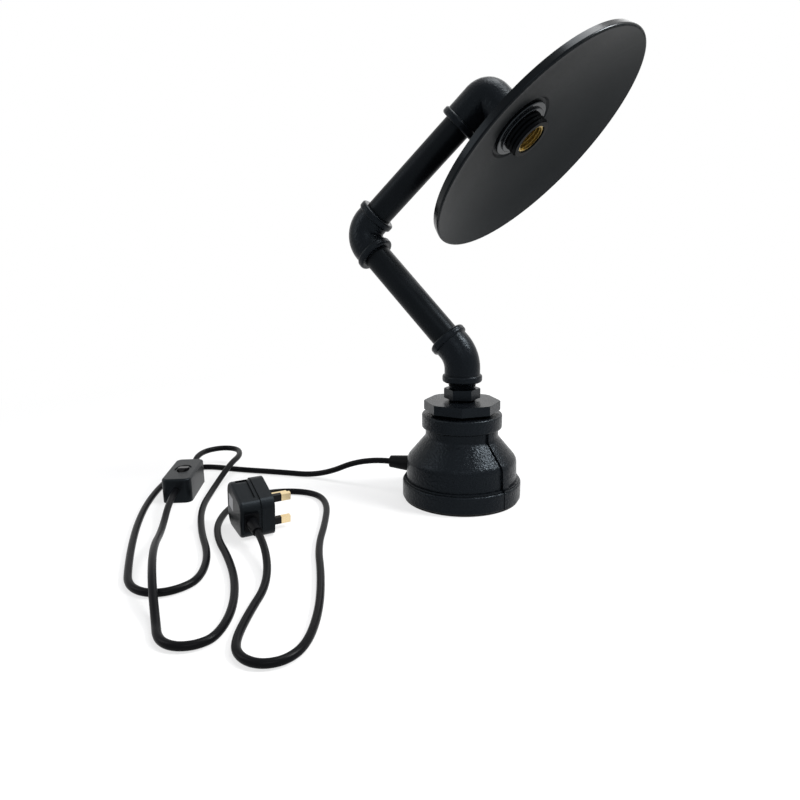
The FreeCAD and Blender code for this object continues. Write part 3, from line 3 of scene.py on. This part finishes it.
import bpy
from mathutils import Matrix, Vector


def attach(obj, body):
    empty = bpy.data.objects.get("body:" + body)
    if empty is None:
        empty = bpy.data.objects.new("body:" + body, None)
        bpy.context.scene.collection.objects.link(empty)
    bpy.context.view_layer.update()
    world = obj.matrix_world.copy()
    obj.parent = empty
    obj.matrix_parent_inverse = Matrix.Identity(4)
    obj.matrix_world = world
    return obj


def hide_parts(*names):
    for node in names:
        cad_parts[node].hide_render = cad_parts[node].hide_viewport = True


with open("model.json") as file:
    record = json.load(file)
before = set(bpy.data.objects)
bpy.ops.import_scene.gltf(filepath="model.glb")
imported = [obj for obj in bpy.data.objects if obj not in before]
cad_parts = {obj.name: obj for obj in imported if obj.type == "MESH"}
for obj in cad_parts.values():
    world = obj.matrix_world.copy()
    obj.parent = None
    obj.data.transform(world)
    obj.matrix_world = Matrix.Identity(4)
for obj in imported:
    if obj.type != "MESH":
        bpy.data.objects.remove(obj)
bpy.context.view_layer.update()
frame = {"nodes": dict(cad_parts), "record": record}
nodes = frame["nodes"]
scene = bpy.context.scene
scene.view_settings.view_transform = "Standard"

# ---------------------------------------------------------------- camera
# A normal lens 0.6 m in front of the lamp, as high as the middle elbow and turned slightly to the
# left of the base.
CAMERA_PLACE = (0.0, -0.6156078, 0.2344895)
CAMERA_TURN = (1.3498367, 0.0106687, 0.0943003)
CAMERA_LENS = 29.491            # millimetres
CAMERA_SENSOR = 36.0            # millimetres
CAMERA_NEAR = 0.01
eye_data = bpy.data.cameras.new("studio_camera")
eye_data.sensor_width = CAMERA_SENSOR
eye_data.lens = CAMERA_LENS
eye_data.clip_start = CAMERA_NEAR
eye = bpy.data.objects.new("studio_camera", eye_data)
eye.location = CAMERA_PLACE
eye.rotation_euler = CAMERA_TURN
scene.collection.objects.link(eye)
scene.camera = eye

# ---------------------------------------------------------------- surface and light
# A plain pale surface under soft studio light: one small panel high on the right, one overhead,
# wide ones in front, on the left and behind, and an even pale room around.


def new_object(name, mesh):
    """Object for a mesh, linked to the scene."""
    piece = bpy.data.objects.new(name, mesh)
    scene.collection.objects.link(piece)
    return piece


def plain_material(name, colour, roughness):
    """Material with its shader's own sockets set, and the shader and tree to add to."""
    material = bpy.data.materials.new(name)
    material.use_nodes = True
    shader = material.node_tree.nodes["Principled BSDF"]
    shader.inputs["Base Color"].default_value = (*colour, 1.0)
    shader.inputs["Roughness"].default_value = roughness
    return material, shader, material.node_tree


def math_node(tree, operation, first, second):
    """Math node whose inputs are sockets or numbers."""
    node = tree.nodes.new("ShaderNodeMath")
    node.operation = operation
    for index, value in enumerate((first, second)):
        if isinstance(value, (int, float)):
            node.inputs[index].default_value = value
        else:
            tree.links.new(value, node.inputs[index])
    return node.outputs[0]


def seen_ray(tree):
    """One where the camera, a reflection or a clear piece looks, and nothing where light falls."""
    path = tree.nodes.new("ShaderNodeLightPath")
    either = math_node(tree, "MAXIMUM", path.outputs["Is Camera Ray"],
                       path.outputs["Is Glossy Ray"])
    return math_node(tree, "MAXIMUM", either, path.outputs["Is Transmission Ray"])


SURFACE_HALF = 3.0              # metres, as every length in this file unless it says otherwise
SURFACE_DROP = 0.0002           # below the foot disc, so that their skins don't share a plane
SURFACE_COLOUR = (0.88, 0.88, 0.88)
SURFACE_ROUGHNESS = 0.9
SURFACE_GLOSS = 0.1
SURFACE_GLOW_NEAR = 0.70        # share of plain white under the lamp, where its shadow shows
SURFACE_GLOW_FAR = 1.0
SURFACE_GLOW_START = 0.38       # reach from the lamp at which the glow begins to grow
SURFACE_GLOW_FULL = 0.85        # reach at which it is plain white
PLAIN_WHITE = (1.0, 1.0, 1.0, 1.0)
surface_mesh = bpy.data.meshes.new("studio_surface")
surface_corners = [(across * SURFACE_HALF, along * SURFACE_HALF, -SURFACE_DROP)
                   for across, along in ((-1, -1), (1, -1), (1, 1), (-1, 1))]
surface_mesh.from_pydata(surface_corners, [], [(0, 1, 2, 3)])
surface = new_object("studio_surface", surface_mesh)
surface_paint, surface_shader, surface_tree = plain_material("studio_surface", SURFACE_COLOUR,
                                                             SURFACE_ROUGHNESS)
surface_shader.inputs["Specular IOR Level"].default_value = SURFACE_GLOSS
surface_place = surface_tree.nodes.new("ShaderNodeTexCoord")
surface_reach = surface_tree.nodes.new("ShaderNodeVectorMath")
surface_reach.operation = "LENGTH"
surface_fade = surface_tree.nodes.new("ShaderNodeMapRange")
for label, value in (("From Min", SURFACE_GLOW_START), ("From Max", SURFACE_GLOW_FULL),
                     ("To Min", SURFACE_GLOW_NEAR), ("To Max", SURFACE_GLOW_FAR)):
    surface_fade.inputs[label].default_value = value
surface_glow = surface_tree.nodes.new("ShaderNodeEmission")
surface_glow.inputs["Color"].default_value = PLAIN_WHITE
surface_mix = surface_tree.nodes.new("ShaderNodeMixShader")
surface_tree.links.new(surface_place.outputs["Object"], surface_reach.inputs[0])
surface_tree.links.new(surface_reach.outputs["Value"], surface_fade.inputs["Value"])
surface_share = math_node(surface_tree, "MULTIPLY", surface_fade.outputs["Result"],
                          seen_ray(surface_tree))
surface_tree.links.new(surface_share, surface_mix.inputs["Fac"])
surface_tree.links.new(surface_shader.outputs["BSDF"], surface_mix.inputs[1])
surface_tree.links.new(surface_glow.outputs["Emission"], surface_mix.inputs[2])
surface_output = surface_tree.nodes["Material Output"]
surface_tree.links.new(surface_mix.outputs["Shader"], surface_output.inputs["Surface"])
surface_mesh.materials.append(surface_paint)

ROOM_TINT = (0.9, 0.93, 1.0, 1.0)
ROOM_LIGHT = 0.27               # strength of the room's light on the lamp
room = bpy.data.worlds.new("studio_room")
room.use_nodes = True
scene.world = room
room_tree = room.node_tree
room_glow = room_tree.nodes["Background"]
room_glow.inputs["Color"].default_value = ROOM_TINT
room_glow.inputs["Strength"].default_value = ROOM_LIGHT
pale_glow = room_tree.nodes.new("ShaderNodeBackground")
pale_glow.inputs["Color"].default_value = PLAIN_WHITE
room_mix = room_tree.nodes.new("ShaderNodeMixShader")
room_tree.links.new(seen_ray(room_tree), room_mix.inputs["Fac"])
room_tree.links.new(room_glow.outputs["Background"], room_mix.inputs[1])
room_tree.links.new(pale_glow.outputs["Background"], room_mix.inputs[2])
room_output = room_tree.nodes["World Output"]
room_tree.links.new(room_mix.outputs["Shader"], room_output.inputs["Surface"])

SOFT_PANELS = (
    # name, place, what it faces, width, height, watts
    ("right_panel", (0.80, -0.06, 0.98), (0.0, 0.0, 0.1), 0.30, 0.30, 19.0),
    ("top_panel", (0.24, 0.16, 1.45), (0.0, 0.0, 0.3), 0.70, 0.60, 12.0),
    ("front_panel", (0.15, -1.25, 0.95), (0.0, 0.0, 0.15), 0.7, 0.5, 3.0),
    ("left_panel", (-1.1, -0.25, 0.75), (-0.05, 0.0, 0.2), 0.4, 0.7, 3.0),
    ("back_panel", (0.3, 1.1, 0.9), (0.0, 0.0, 0.2), 1.0, 0.7, 3.0),
)
for name, place, aim, width, height, watts in SOFT_PANELS:
    lamp_data = bpy.data.lights.new(name, "AREA")
    lamp_data.shape = "RECTANGLE"
    lamp_data.size = width
    lamp_data.size_y = height
    lamp_data.energy = watts
    panel = bpy.data.objects.new(name, lamp_data)
    panel.location = place
    panel.rotation_euler = (Vector(aim) - Vector(place)).to_track_quat("-Z", "Y").to_euler()
    scene.collection.objects.link(panel)


# ---------------------------------------------------------------- cord from the lamp to the switch
# Round black mains cord, three cores in one smooth jacket. It leaves the grip in the base, lies
# in a long loop round the switch and goes into the switch's far end.


def new_group(name, sockets_in, sockets_out):
    """Empty shader node group with named sockets: (name, kind, default)."""
    group = bpy.data.node_groups.new(name, "ShaderNodeTree")
    for label, kind, default in sockets_in:
        socket = group.interface.new_socket(label, in_out="INPUT", socket_type=kind)
        socket.default_value = default
    for label, kind in sockets_out:
        group.interface.new_socket(label, in_out="OUTPUT", socket_type=kind)
    return group, group.nodes.new("NodeGroupInput"), group.nodes.new("NodeGroupOutput")


GRAIN_DETAIL = 3.0
BLOTCH_DETAIL = 4.0
FADED_BLACK = (0.05, 0.05, 0.055, 1.0)      # what the skin drifts towards where it is paler


def skin_group():
    """Fine grain and slow drift of a moulded or painted skin, worked out from the piece itself."""
    group, source, result = new_group(
        "skin",
        [("Colour", "NodeSocketColor", (0.02, 0.02, 0.02, 1.0)),
         ("Rough", "NodeSocketFloat", 0.4), ("Drift", "NodeSocketFloat", 0.1),
         ("Grain", "NodeSocketFloat", 900.0), ("Blotch", "NodeSocketFloat", 30.0),
         ("Fade", "NodeSocketFloat", 0.3)],
        [("Colour", "NodeSocketColor"), ("Roughness", "NodeSocketFloat"),
         ("Height", "NodeSocketFloat")])
    place = group.nodes.new("ShaderNodeTexCoord")
    grain = group.nodes.new("ShaderNodeTexNoise")
    grain.inputs["Detail"].default_value = GRAIN_DETAIL
    blotch = group.nodes.new("ShaderNodeTexNoise")
    blotch.inputs["Detail"].default_value = BLOTCH_DETAIL
    for noise, scale in ((grain, "Grain"), (blotch, "Blotch")):
        group.links.new(place.outputs["Object"], noise.inputs["Vector"])
        group.links.new(source.outputs[scale], noise.inputs["Scale"])
    offset = math_node(group, "SUBTRACT", blotch.outputs["Fac"], 0.5)
    shift = math_node(group, "MULTIPLY", offset, source.outputs["Drift"])
    rough = math_node(group, "ADD", shift, source.outputs["Rough"])
    group.links.new(rough, result.inputs["Roughness"])
    group.links.new(grain.outputs["Fac"], result.inputs["Height"])
    lighter = group.nodes.new("ShaderNodeMix")
    lighter.data_type = "RGBA"
    lighter.inputs["B"].default_value = FADED_BLACK
    amount = math_node(group, "MULTIPLY", offset, source.outputs["Fade"])
    kept = math_node(group, "MAXIMUM", amount, 0.0)
    group.links.new(kept, lighter.inputs["Factor"])
    group.links.new(source.outputs["Colour"], lighter.inputs["A"])
    group.links.new(lighter.outputs["Result"], result.inputs["Colour"])
    return group


SKIN = skin_group()


def skinned(name, colour, roughness, drift, grain, depth, blotch=30.0, fade=0.06, gloss=0.5,
            tint=(1.0, 1.0, 1.0)):
    """Material with the skin group: grain and blotch per metre, depth of the bump in metres."""
    material, shader, tree = plain_material(name, colour, roughness)
    shader.inputs["Specular IOR Level"].default_value = gloss
    shader.inputs["Specular Tint"].default_value = (*tint, 1.0)
    skin = tree.nodes.new("ShaderNodeGroup")
    skin.node_tree = SKIN
    values = {"Colour": (*colour, 1.0), "Rough": roughness, "Drift": drift, "Grain": grain,
              "Blotch": blotch, "Fade": fade}
    for label, value in values.items():
        skin.inputs[label].default_value = value
    bump = tree.nodes.new("ShaderNodeBump")
    bump.inputs["Distance"].default_value = depth
    tree.links.new(skin.outputs["Height"], bump.inputs["Height"])
    tree.links.new(skin.outputs["Colour"], shader.inputs["Base Color"])
    tree.links.new(skin.outputs["Roughness"], shader.inputs["Roughness"])
    tree.links.new(bump.outputs["Normal"], shader.inputs["Normal"])
    return material


def dress(material, *names):
    """Gives solids of the lamp their finish."""
    for name in names:
        slots = nodes[name].data.materials
        slots.clear()
        slots.append(material)
        for face in nodes[name].data.polygons:
            face.material_index = 0


CORD_OD = 0.006
CORD_FACETS = 6                 # rounding of its section
CORD_LINE_ORDER = 3
CORD_LINE_STEPS = 12            # between two points of its route
cord_jacket = skinned("cord_jacket", colour=(0.0026, 0.0028, 0.0034), roughness=0.32, drift=0.10,
                      grain=500.0, depth=0.00004, gloss=0.05)


def cord_piece(name, points):
    """Round cord along one smooth line through listed points."""
    curve = bpy.data.curves.new(name, "CURVE")
    curve.dimensions = "3D"
    curve.bevel_depth = CORD_OD / 2
    curve.bevel_resolution = CORD_FACETS
    curve.use_fill_caps = True
    line = curve.splines.new("NURBS")
    line.points.add(len(points) - 1)
    for point, place in zip(line.points, points):
        point.co = (*place, 1.0)
    line.order_u = CORD_LINE_ORDER
    line.use_endpoint_u = True
    line.resolution_u = CORD_LINE_STEPS
    curve.materials.append(cord_jacket)
    return new_object(name, curve)


GRIP_HEIGHT = 0.02720           # of the hole in the base
INLET_HEIGHT = 0.01200          # of the switch's two cord holes
ON_SURFACE = 0.00305            # centre of a cord that lies flat
OVER_A_STRAND = 0.01650         # centre of a cord that crosses another
LAMP_CORD_ROUTE = (
    (-0.07196, 0.01928, GRIP_HEIGHT), (-0.10094, 0.02705, GRIP_HEIGHT),
    (-0.14900, 0.03900, ON_SURFACE), (-0.19900, 0.04800, ON_SURFACE),
    (-0.24400, 0.05300, ON_SURFACE), (-0.28100, 0.06200, ON_SURFACE),
    (-0.30200, 0.05300, ON_SURFACE), (-0.30900, 0.02800, ON_SURFACE),
    (-0.30700, -0.00800, ON_SURFACE), (-0.29900, -0.05200, ON_SURFACE),
    (-0.28500, -0.09800, ON_SURFACE), (-0.26700, -0.14400, ON_SURFACE),
    (-0.25000, -0.18200, ON_SURFACE), (-0.24000, -0.20200, ON_SURFACE),
    (-0.22700, -0.21300, ON_SURFACE), (-0.21100, -0.21500, ON_SURFACE),
    (-0.19700, -0.20600, ON_SURFACE), (-0.19000, -0.19000, ON_SURFACE),
    (-0.19800, -0.15400, ON_SURFACE), (-0.22200, -0.11000, ON_SURFACE),
    (-0.24200, -0.06000, ON_SURFACE), (-0.25000, -0.01000, ON_SURFACE),
    (-0.24600, 0.03400, OVER_A_STRAND), (-0.24500, 0.06200, OVER_A_STRAND),
    (-0.25500, 0.08600, OVER_A_STRAND), (-0.27500, 0.09100, OVER_A_STRAND),
    (-0.29100, 0.07700, OVER_A_STRAND), (-0.29200, 0.05300, OVER_A_STRAND),
    (-0.28816, 0.03829, INLET_HEIGHT), (-0.28573, 0.02450, INLET_HEIGHT),
)
lamp_cord = cord_piece("lamp_cord", LAMP_CORD_ROUTE)
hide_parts("cord_lamp_to_switch")
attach(lamp_cord, "base")

# ---------------------------------------------------------------- cord from the switch to the plug
# The same cord again, 1.07 m of it. It leaves the near end of the switch, passes low over the
# first cord, lies in two open turns round the plug and goes into the plug's boot.
LOW_OVER_A_STRAND = 0.01550
BOOT_MOUTH = (-0.15173, -0.15204, 0.01117)
BOOT_INSIDE = (-0.16425, -0.13304, 0.01448)
PLUG_CORD_ROUTE = (
    (-0.27427, -0.04050, INLET_HEIGHT), (-0.27010, -0.06413, INLET_HEIGHT),
    (-0.25600, -0.11200, ON_SURFACE), (-0.23600, -0.16800, LOW_OVER_A_STRAND),
    (-0.21300, -0.21800, LOW_OVER_A_STRAND), (-0.19600, -0.25000, ON_SURFACE),
    (-0.18600, -0.26900, ON_SURFACE), (-0.17300, -0.27600, ON_SURFACE),
    (-0.15900, -0.27300, ON_SURFACE), (-0.15000, -0.26200, ON_SURFACE),
    (-0.15100, -0.23100, ON_SURFACE), (-0.16300, -0.19200, ON_SURFACE),
    (-0.18200, -0.15500, ON_SURFACE), (-0.20200, -0.12400, ON_SURFACE),
    (-0.21500, -0.09000, ON_SURFACE), (-0.21600, -0.05000, ON_SURFACE),
    (-0.20000, -0.01900, ON_SURFACE), (-0.17200, -0.00800, ON_SURFACE),
    (-0.14200, -0.01400, ON_SURFACE), (-0.12600, -0.04000, ON_SURFACE),
    (-0.11900, -0.08400, ON_SURFACE), (-0.11500, -0.13200, ON_SURFACE),
    (-0.10200, -0.18000, ON_SURFACE), (-0.09300, -0.22800, ON_SURFACE),
    (-0.09200, -0.26600, ON_SURFACE), (-0.10000, -0.28300, ON_SURFACE),
    (-0.11400, -0.28900, ON_SURFACE), (-0.12800, -0.28400, ON_SURFACE),
    (-0.13700, -0.27000, ON_SURFACE), (-0.13900, -0.23600, ON_SURFACE),
    (-0.13800, -0.19400, ON_SURFACE), BOOT_MOUTH, BOOT_INSIDE,
)
plug_cord = cord_piece("plug_cord", PLUG_CORD_ROUTE)
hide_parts("cord_switch_to_plug")
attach(plug_cord, "base")

# ---------------------------------------------------------------- foot disc
# Black rubber disc, 2 mm thick, stamped from sheet and glued under the casting. It closes the
# wiring in and keeps the iron off the table.
foot_rubber = skinned("foot_rubber", colour=(0.012, 0.012, 0.012), roughness=0.85, drift=0.08,
                      grain=2500.0, depth=0.00008, gloss=0.2)
dress(foot_rubber, "base_pad")

# ---------------------------------------------------------------- cast socket of the base
# Malleable iron reducing socket, 3 inch at the foot and 2 inch at the top, sand cast, threaded
# inside and sprayed satin black. The sand shows through the paint as a soft, fine grain.
PAINT_BLACK = (0.0030, 0.0038, 0.0050)
BLUE_SHEEN = (0.72, 0.87, 1.0)
cast_paint = skinned("cast_paint", colour=PAINT_BLACK, roughness=0.27, drift=0.10, grain=430.0,
                     depth=0.00062, blotch=55.0, fade=0.08, gloss=0.105, tint=BLUE_SHEEN)
dress(cast_paint, "base_reducer")

# ---------------------------------------------------------------- bushing and hexagon nipple
# Octagon bushing and hexagon nipple, turned and milled from the same iron. Their flats are
# smoother than the casting under the same satin black paint.
milled_paint = skinned("milled_paint", colour=PAINT_BLACK, roughness=0.26, drift=0.10, grain=900.0,
                       depth=0.00015, blotch=70.0, fade=0.08, gloss=0.11, tint=BLUE_SHEEN)
dress(milled_paint, "octagon_bushing", "hex_nipple")

# ---------------------------------------------------------------- cord grip
# Moulded black nylon grip, screwed through the wall of the base with a plated nut inside. It
# tapers along the cord and stops it from being pulled or bent sharply at the hole.
grip_nylon = skinned("grip_nylon", colour=(0.0030, 0.0032, 0.0038), roughness=0.46, drift=0.10,
                     grain=1500.0, depth=0.00003, gloss=0.06)
dress(grip_nylon, "base_cord_grip")

TOOL_MARKS = 1800.0             # per metre
TOOL_MARK_DEPTH = 0.00002


def turned_metal(name, colour, roughness, drift):
    """Bare metal with fine tool marks."""
    material = skinned(name, colour, roughness, drift, TOOL_MARKS, TOOL_MARK_DEPTH, fade=0.0)
    shader = material.node_tree.nodes["Principled BSDF"]
    shader.inputs["Metallic"].default_value = 1.0
    return material


plated_steel = turned_metal("plated_steel", colour=(0.60, 0.60, 0.58), roughness=0.30, drift=0.14)
dress(plated_steel, "base_grip_nut")

# ---------------------------------------------------------------- earth point and inner cord
# Ring terminal on a screw in the wall of the casting, with its green and yellow core, and the
# cord that runs up through the pipes in lengths that meet at the joints.
dress(plated_steel, "earth_screw", "earth_lug")
inner_jacket = skinned("inner_jacket", colour=(0.006, 0.006, 0.0065), roughness=0.42, drift=0.08,
                       grain=500.0, depth=0.00003, gloss=0.25)
dress(inner_jacket, "base_wiring", "lower_arm_wiring", "upper_arm_wiring", "head_wiring")

CORE_ROUGHNESS = 0.42
STRIPE_SCALE = 260.0
STRIPE_DISTORTION = 1.5


def striped_core(name, colour, stripe):
    """Insulation in one colour, with a stripe of the other along bands of its length."""
    material, shader, tree = plain_material(name, colour, CORE_ROUGHNESS)
    place = tree.nodes.new("ShaderNodeTexCoord")
    bands = tree.nodes.new("ShaderNodeTexWave")
    bands.inputs["Scale"].default_value = STRIPE_SCALE
    bands.inputs["Distortion"].default_value = STRIPE_DISTORTION
    mix = tree.nodes.new("ShaderNodeMix")
    mix.data_type = "RGBA"
    mix.inputs["A"].default_value = (*colour, 1.0)
    mix.inputs["B"].default_value = (*stripe, 1.0)
    tree.links.new(place.outputs["Object"], bands.inputs["Vector"])
    tree.links.new(bands.outputs["Fac"], mix.inputs["Factor"])
    tree.links.new(mix.outputs["Result"], shader.inputs["Base Color"])
    return material


earth_insulation = striped_core("earth_insulation", colour=(0.06, 0.30, 0.07),
                                stripe=(0.72, 0.60, 0.05))
live_insulation = skinned("live_insulation", colour=(0.16, 0.06, 0.025), roughness=CORE_ROUGHNESS,
                          drift=0.06, grain=700.0, depth=0.00002, fade=0.0)
neutral_insulation = skinned("neutral_insulation", colour=(0.04, 0.13, 0.42),
                             roughness=CORE_ROUGHNESS, drift=0.06, grain=700.0, depth=0.00002,
                             fade=0.0)
dress(earth_insulation, "earth_core")

# ---------------------------------------------------------------- pipe elbows
# Three banded elbows of malleable iron, one of 45 degrees and two of 90, cast in finer sand with
# a bead round each mouth, under the base's paint. Each turns on the pipe's thread.
elbow_paint = skinned("elbow_paint", colour=PAINT_BLACK, roughness=0.29, drift=0.10, grain=520.0,
                      depth=0.00034, blotch=55.0, fade=0.08, gloss=0.09, tint=BLUE_SHEEN)
dress(elbow_paint, "lower_elbow_45", "middle_elbow_90", "top_elbow_90")

# ---------------------------------------------------------------- pipes
# Two lengths of 3/4 inch steel pipe, drawn smooth, threaded at both ends and sprayed satin
# black. They are smoother than the castings and a little deeper in tone.
pipe_paint = skinned("pipe_paint", colour=(0.0022, 0.0026, 0.0032), roughness=0.36, drift=0.12,
                     grain=900.0, depth=0.00005, blotch=40.0, fade=0.06, gloss=0.075,
                     tint=BLUE_SHEEN)
dress(pipe_paint, "lower_pipe", "upper_pipe")

# ---------------------------------------------------------------- lampholder, outside
# Threaded adaptor that screws into the top elbow, then the cap and the body of a black moulded
# lampholder. The shade ring's thread is moulded round the body's nose.
holder_black = skinned("holder_black", colour=(0.0020, 0.0022, 0.0026), roughness=0.36, drift=0.08,
                       grain=1000.0, depth=0.00003, gloss=0.025, tint=BLUE_SHEEN)
dress(milled_paint, "holder_adaptor")
dress(holder_black, "holder_cap", "holder_body")

# ---------------------------------------------------------------- lampholder, inside
# White ceramic core with a rolled brass screw shell, a sprung centre contact, two brass
# terminal blocks with steel screws, and the brown and blue cores that come up to them.
white_ceramic = skinned("white_ceramic", colour=(0.72, 0.71, 0.68), roughness=0.28, drift=0.08,
                        grain=300.0, depth=0.00004, fade=0.0)
brass = turned_metal("brass", colour=(0.80, 0.64, 0.38), roughness=0.30, drift=0.16)
# The screw shell takes a darker, rougher copy of the brass. Its darker colour is painted shade for
# the deep mouth of the holder.
shell_brass_painted_shade = turned_metal("shell_brass_painted_shade", colour=(0.36, 0.26, 0.08), roughness=0.40, drift=0.20)
dress(white_ceramic, "holder_core")
dress(brass, "centre_contact", "holder_terminals")
dress(shell_brass_painted_shade, "screw_shell")
dress(plated_steel, "holder_terminal_screws")

ALONG_X, ALONG_Y, ALONG_Z = range(3)
SPOT_DIGITS = 6                 # corners that agree to this decimal of a metre are one spot


def dress_in_order(name, axis, *finishes):
    """Gives the separate solids of a node their finishes, in their order along an axis."""
    mesh = nodes[name].data
    spots = [tuple(round(part, SPOT_DIGITS) for part in vertex.co) for vertex in mesh.vertices]
    owner = {spot: spot for spot in spots}

    def solid(spot):
        while owner[spot] != spot:
            owner[spot] = owner[owner[spot]]
            spot = owner[spot]
        return spot

    for face in mesh.polygons:
        first = solid(spots[face.vertices[0]])
        for index in face.vertices[1:]:
            owner[solid(spots[index])] = first
    reach = {}
    for spot in spots:
        reach.setdefault(solid(spot), []).append(spot[axis])
    order = sorted(reach, key=lambda which: min(reach[which]) + max(reach[which]))
    mesh.materials.clear()
    for finish in finishes:
        mesh.materials.append(finish)
    for face in mesh.polygons:
        face.material_index = order.index(solid(spots[face.vertices[0]]))


dress_in_order("holder_cores", ALONG_Y, live_insulation, neutral_insulation)

# ---------------------------------------------------------------- shade ring
# Glossy black moulded ring with a threaded bore. It screws up the lampholder's nose until it
# grips the seat of the shade.
ring_black = skinned("ring_black", colour=(0.0028, 0.0030, 0.0036), roughness=0.16, drift=0.06,
                     grain=900.0, depth=0.00002, gloss=0.24, tint=BLUE_SHEEN)
dress(ring_black, "shade_ring")

# ---------------------------------------------------------------- shade
# Shallow dish spun from 1 mm steel sheet, with a step for the ring and a turned-back rim. It is
# satin black inside, and a deeper, glossier black on its back and round the rim.
SHADE_TINT = (0.82, 0.94, 1.0)
shade_coat = skinned("shade_coat", colour=(0.0042, 0.0051, 0.0058), roughness=0.42, drift=0.06,
                     grain=2200.0, depth=0.00003, blotch=25.0, fade=0.04, gloss=0.088,
                     tint=SHADE_TINT)
shade_back = skinned("shade_back", colour=(0.0018, 0.0021, 0.0026), roughness=0.22, drift=0.06,
                     grain=900.0, depth=0.00003, blotch=25.0, fade=0.04, gloss=0.08,
                     tint=BLUE_SHEEN)
SHADE_INSIDE_FACING = 0.6       # share of a face's normal that looks out of the shade
lamp_mouth = next(mount for mount in frame["record"]["mounts"] if mount["name"] == "lamp_socket")
shade_outward = Vector(lamp_mouth["axis"])
dress(shade_back, "shade")
shade_mesh = nodes["shade"].data
shade_mesh.materials.append(shade_coat)
for face in shade_mesh.polygons:
    face.material_index = 1 if face.normal.dot(shade_outward) > SHADE_INSIDE_FACING else 0

# ---------------------------------------------------------------- in-line switch, case
# Two halves of moulded black case with a fine spark finish, joined by two screws from below,
# and a glossier oval rocker in a shallow recess.
case_black = skinned("case_black", colour=(0.0032, 0.0038, 0.0044), roughness=0.34, drift=0.08,
                     grain=2600.0, depth=0.00005, gloss=0.12, tint=BLUE_SHEEN)
rocker_black = skinned("rocker_black", colour=(0.0035, 0.0035, 0.0040), roughness=0.28, drift=0.08,
                       grain=900.0, depth=0.00003, gloss=0.12)
dress(case_black, "switch_base", "switch_cover")
dress(rocker_black, "switch_rocker")
dress(plated_steel, "switch_case_screws")

# ---------------------------------------------------------------- in-line switch, inside
# Brass pivot contact, fixed contact and see-saw, terminal screws, the stripped ends of the two
# cords and their cores.
dress(brass, "switch_pivot_contact", "switch_fixed_contact", "switch_seesaw")
dress(plated_steel, "switch_terminal_screws")
dress(inner_jacket, "switch_cord_ends")
dress_in_order("switch_cores", ALONG_X, live_insulation, neutral_insulation, earth_insulation,
               live_insulation)

# ---------------------------------------------------------------- plug, outside
# Black moulded three-pin plug: front plate with the pins, deep cover with a blank light plate
# on its back, and a soft ribbed boot round the cord.
plate_grey = skinned("plate_grey", colour=(0.36, 0.36, 0.37), roughness=0.45, drift=0.06,
                     grain=1200.0, depth=0.00002, fade=0.0)
dress(case_black, "plug_front", "plug_cover")
dress(plate_grey, "plug_label_plate")
dress(cord_jacket, "plug_boot")

# ---------------------------------------------------------------- plug, pins and inside
# Solid brass pins, the live and neutral ones sleeved in black, with the fuse, its clips and
# carrier, the cord clamp, the terminal screws and the three cores.
dress(brass, "plug_earth_pin", "plug_live_pin", "plug_neutral_pin", "plug_fuse_clips")
dress(rocker_black, "plug_pin_sleeves", "plug_fuse_carrier", "plug_cord_grip")
dress(white_ceramic, "plug_fuse")
dress(plated_steel, "plug_terminal_screws", "plug_cover_screw")
dress(inner_jacket, "plug_cord_end")
dress_in_order("plug_cores", ALONG_Z, live_insulation, earth_insulation, neutral_insulation)
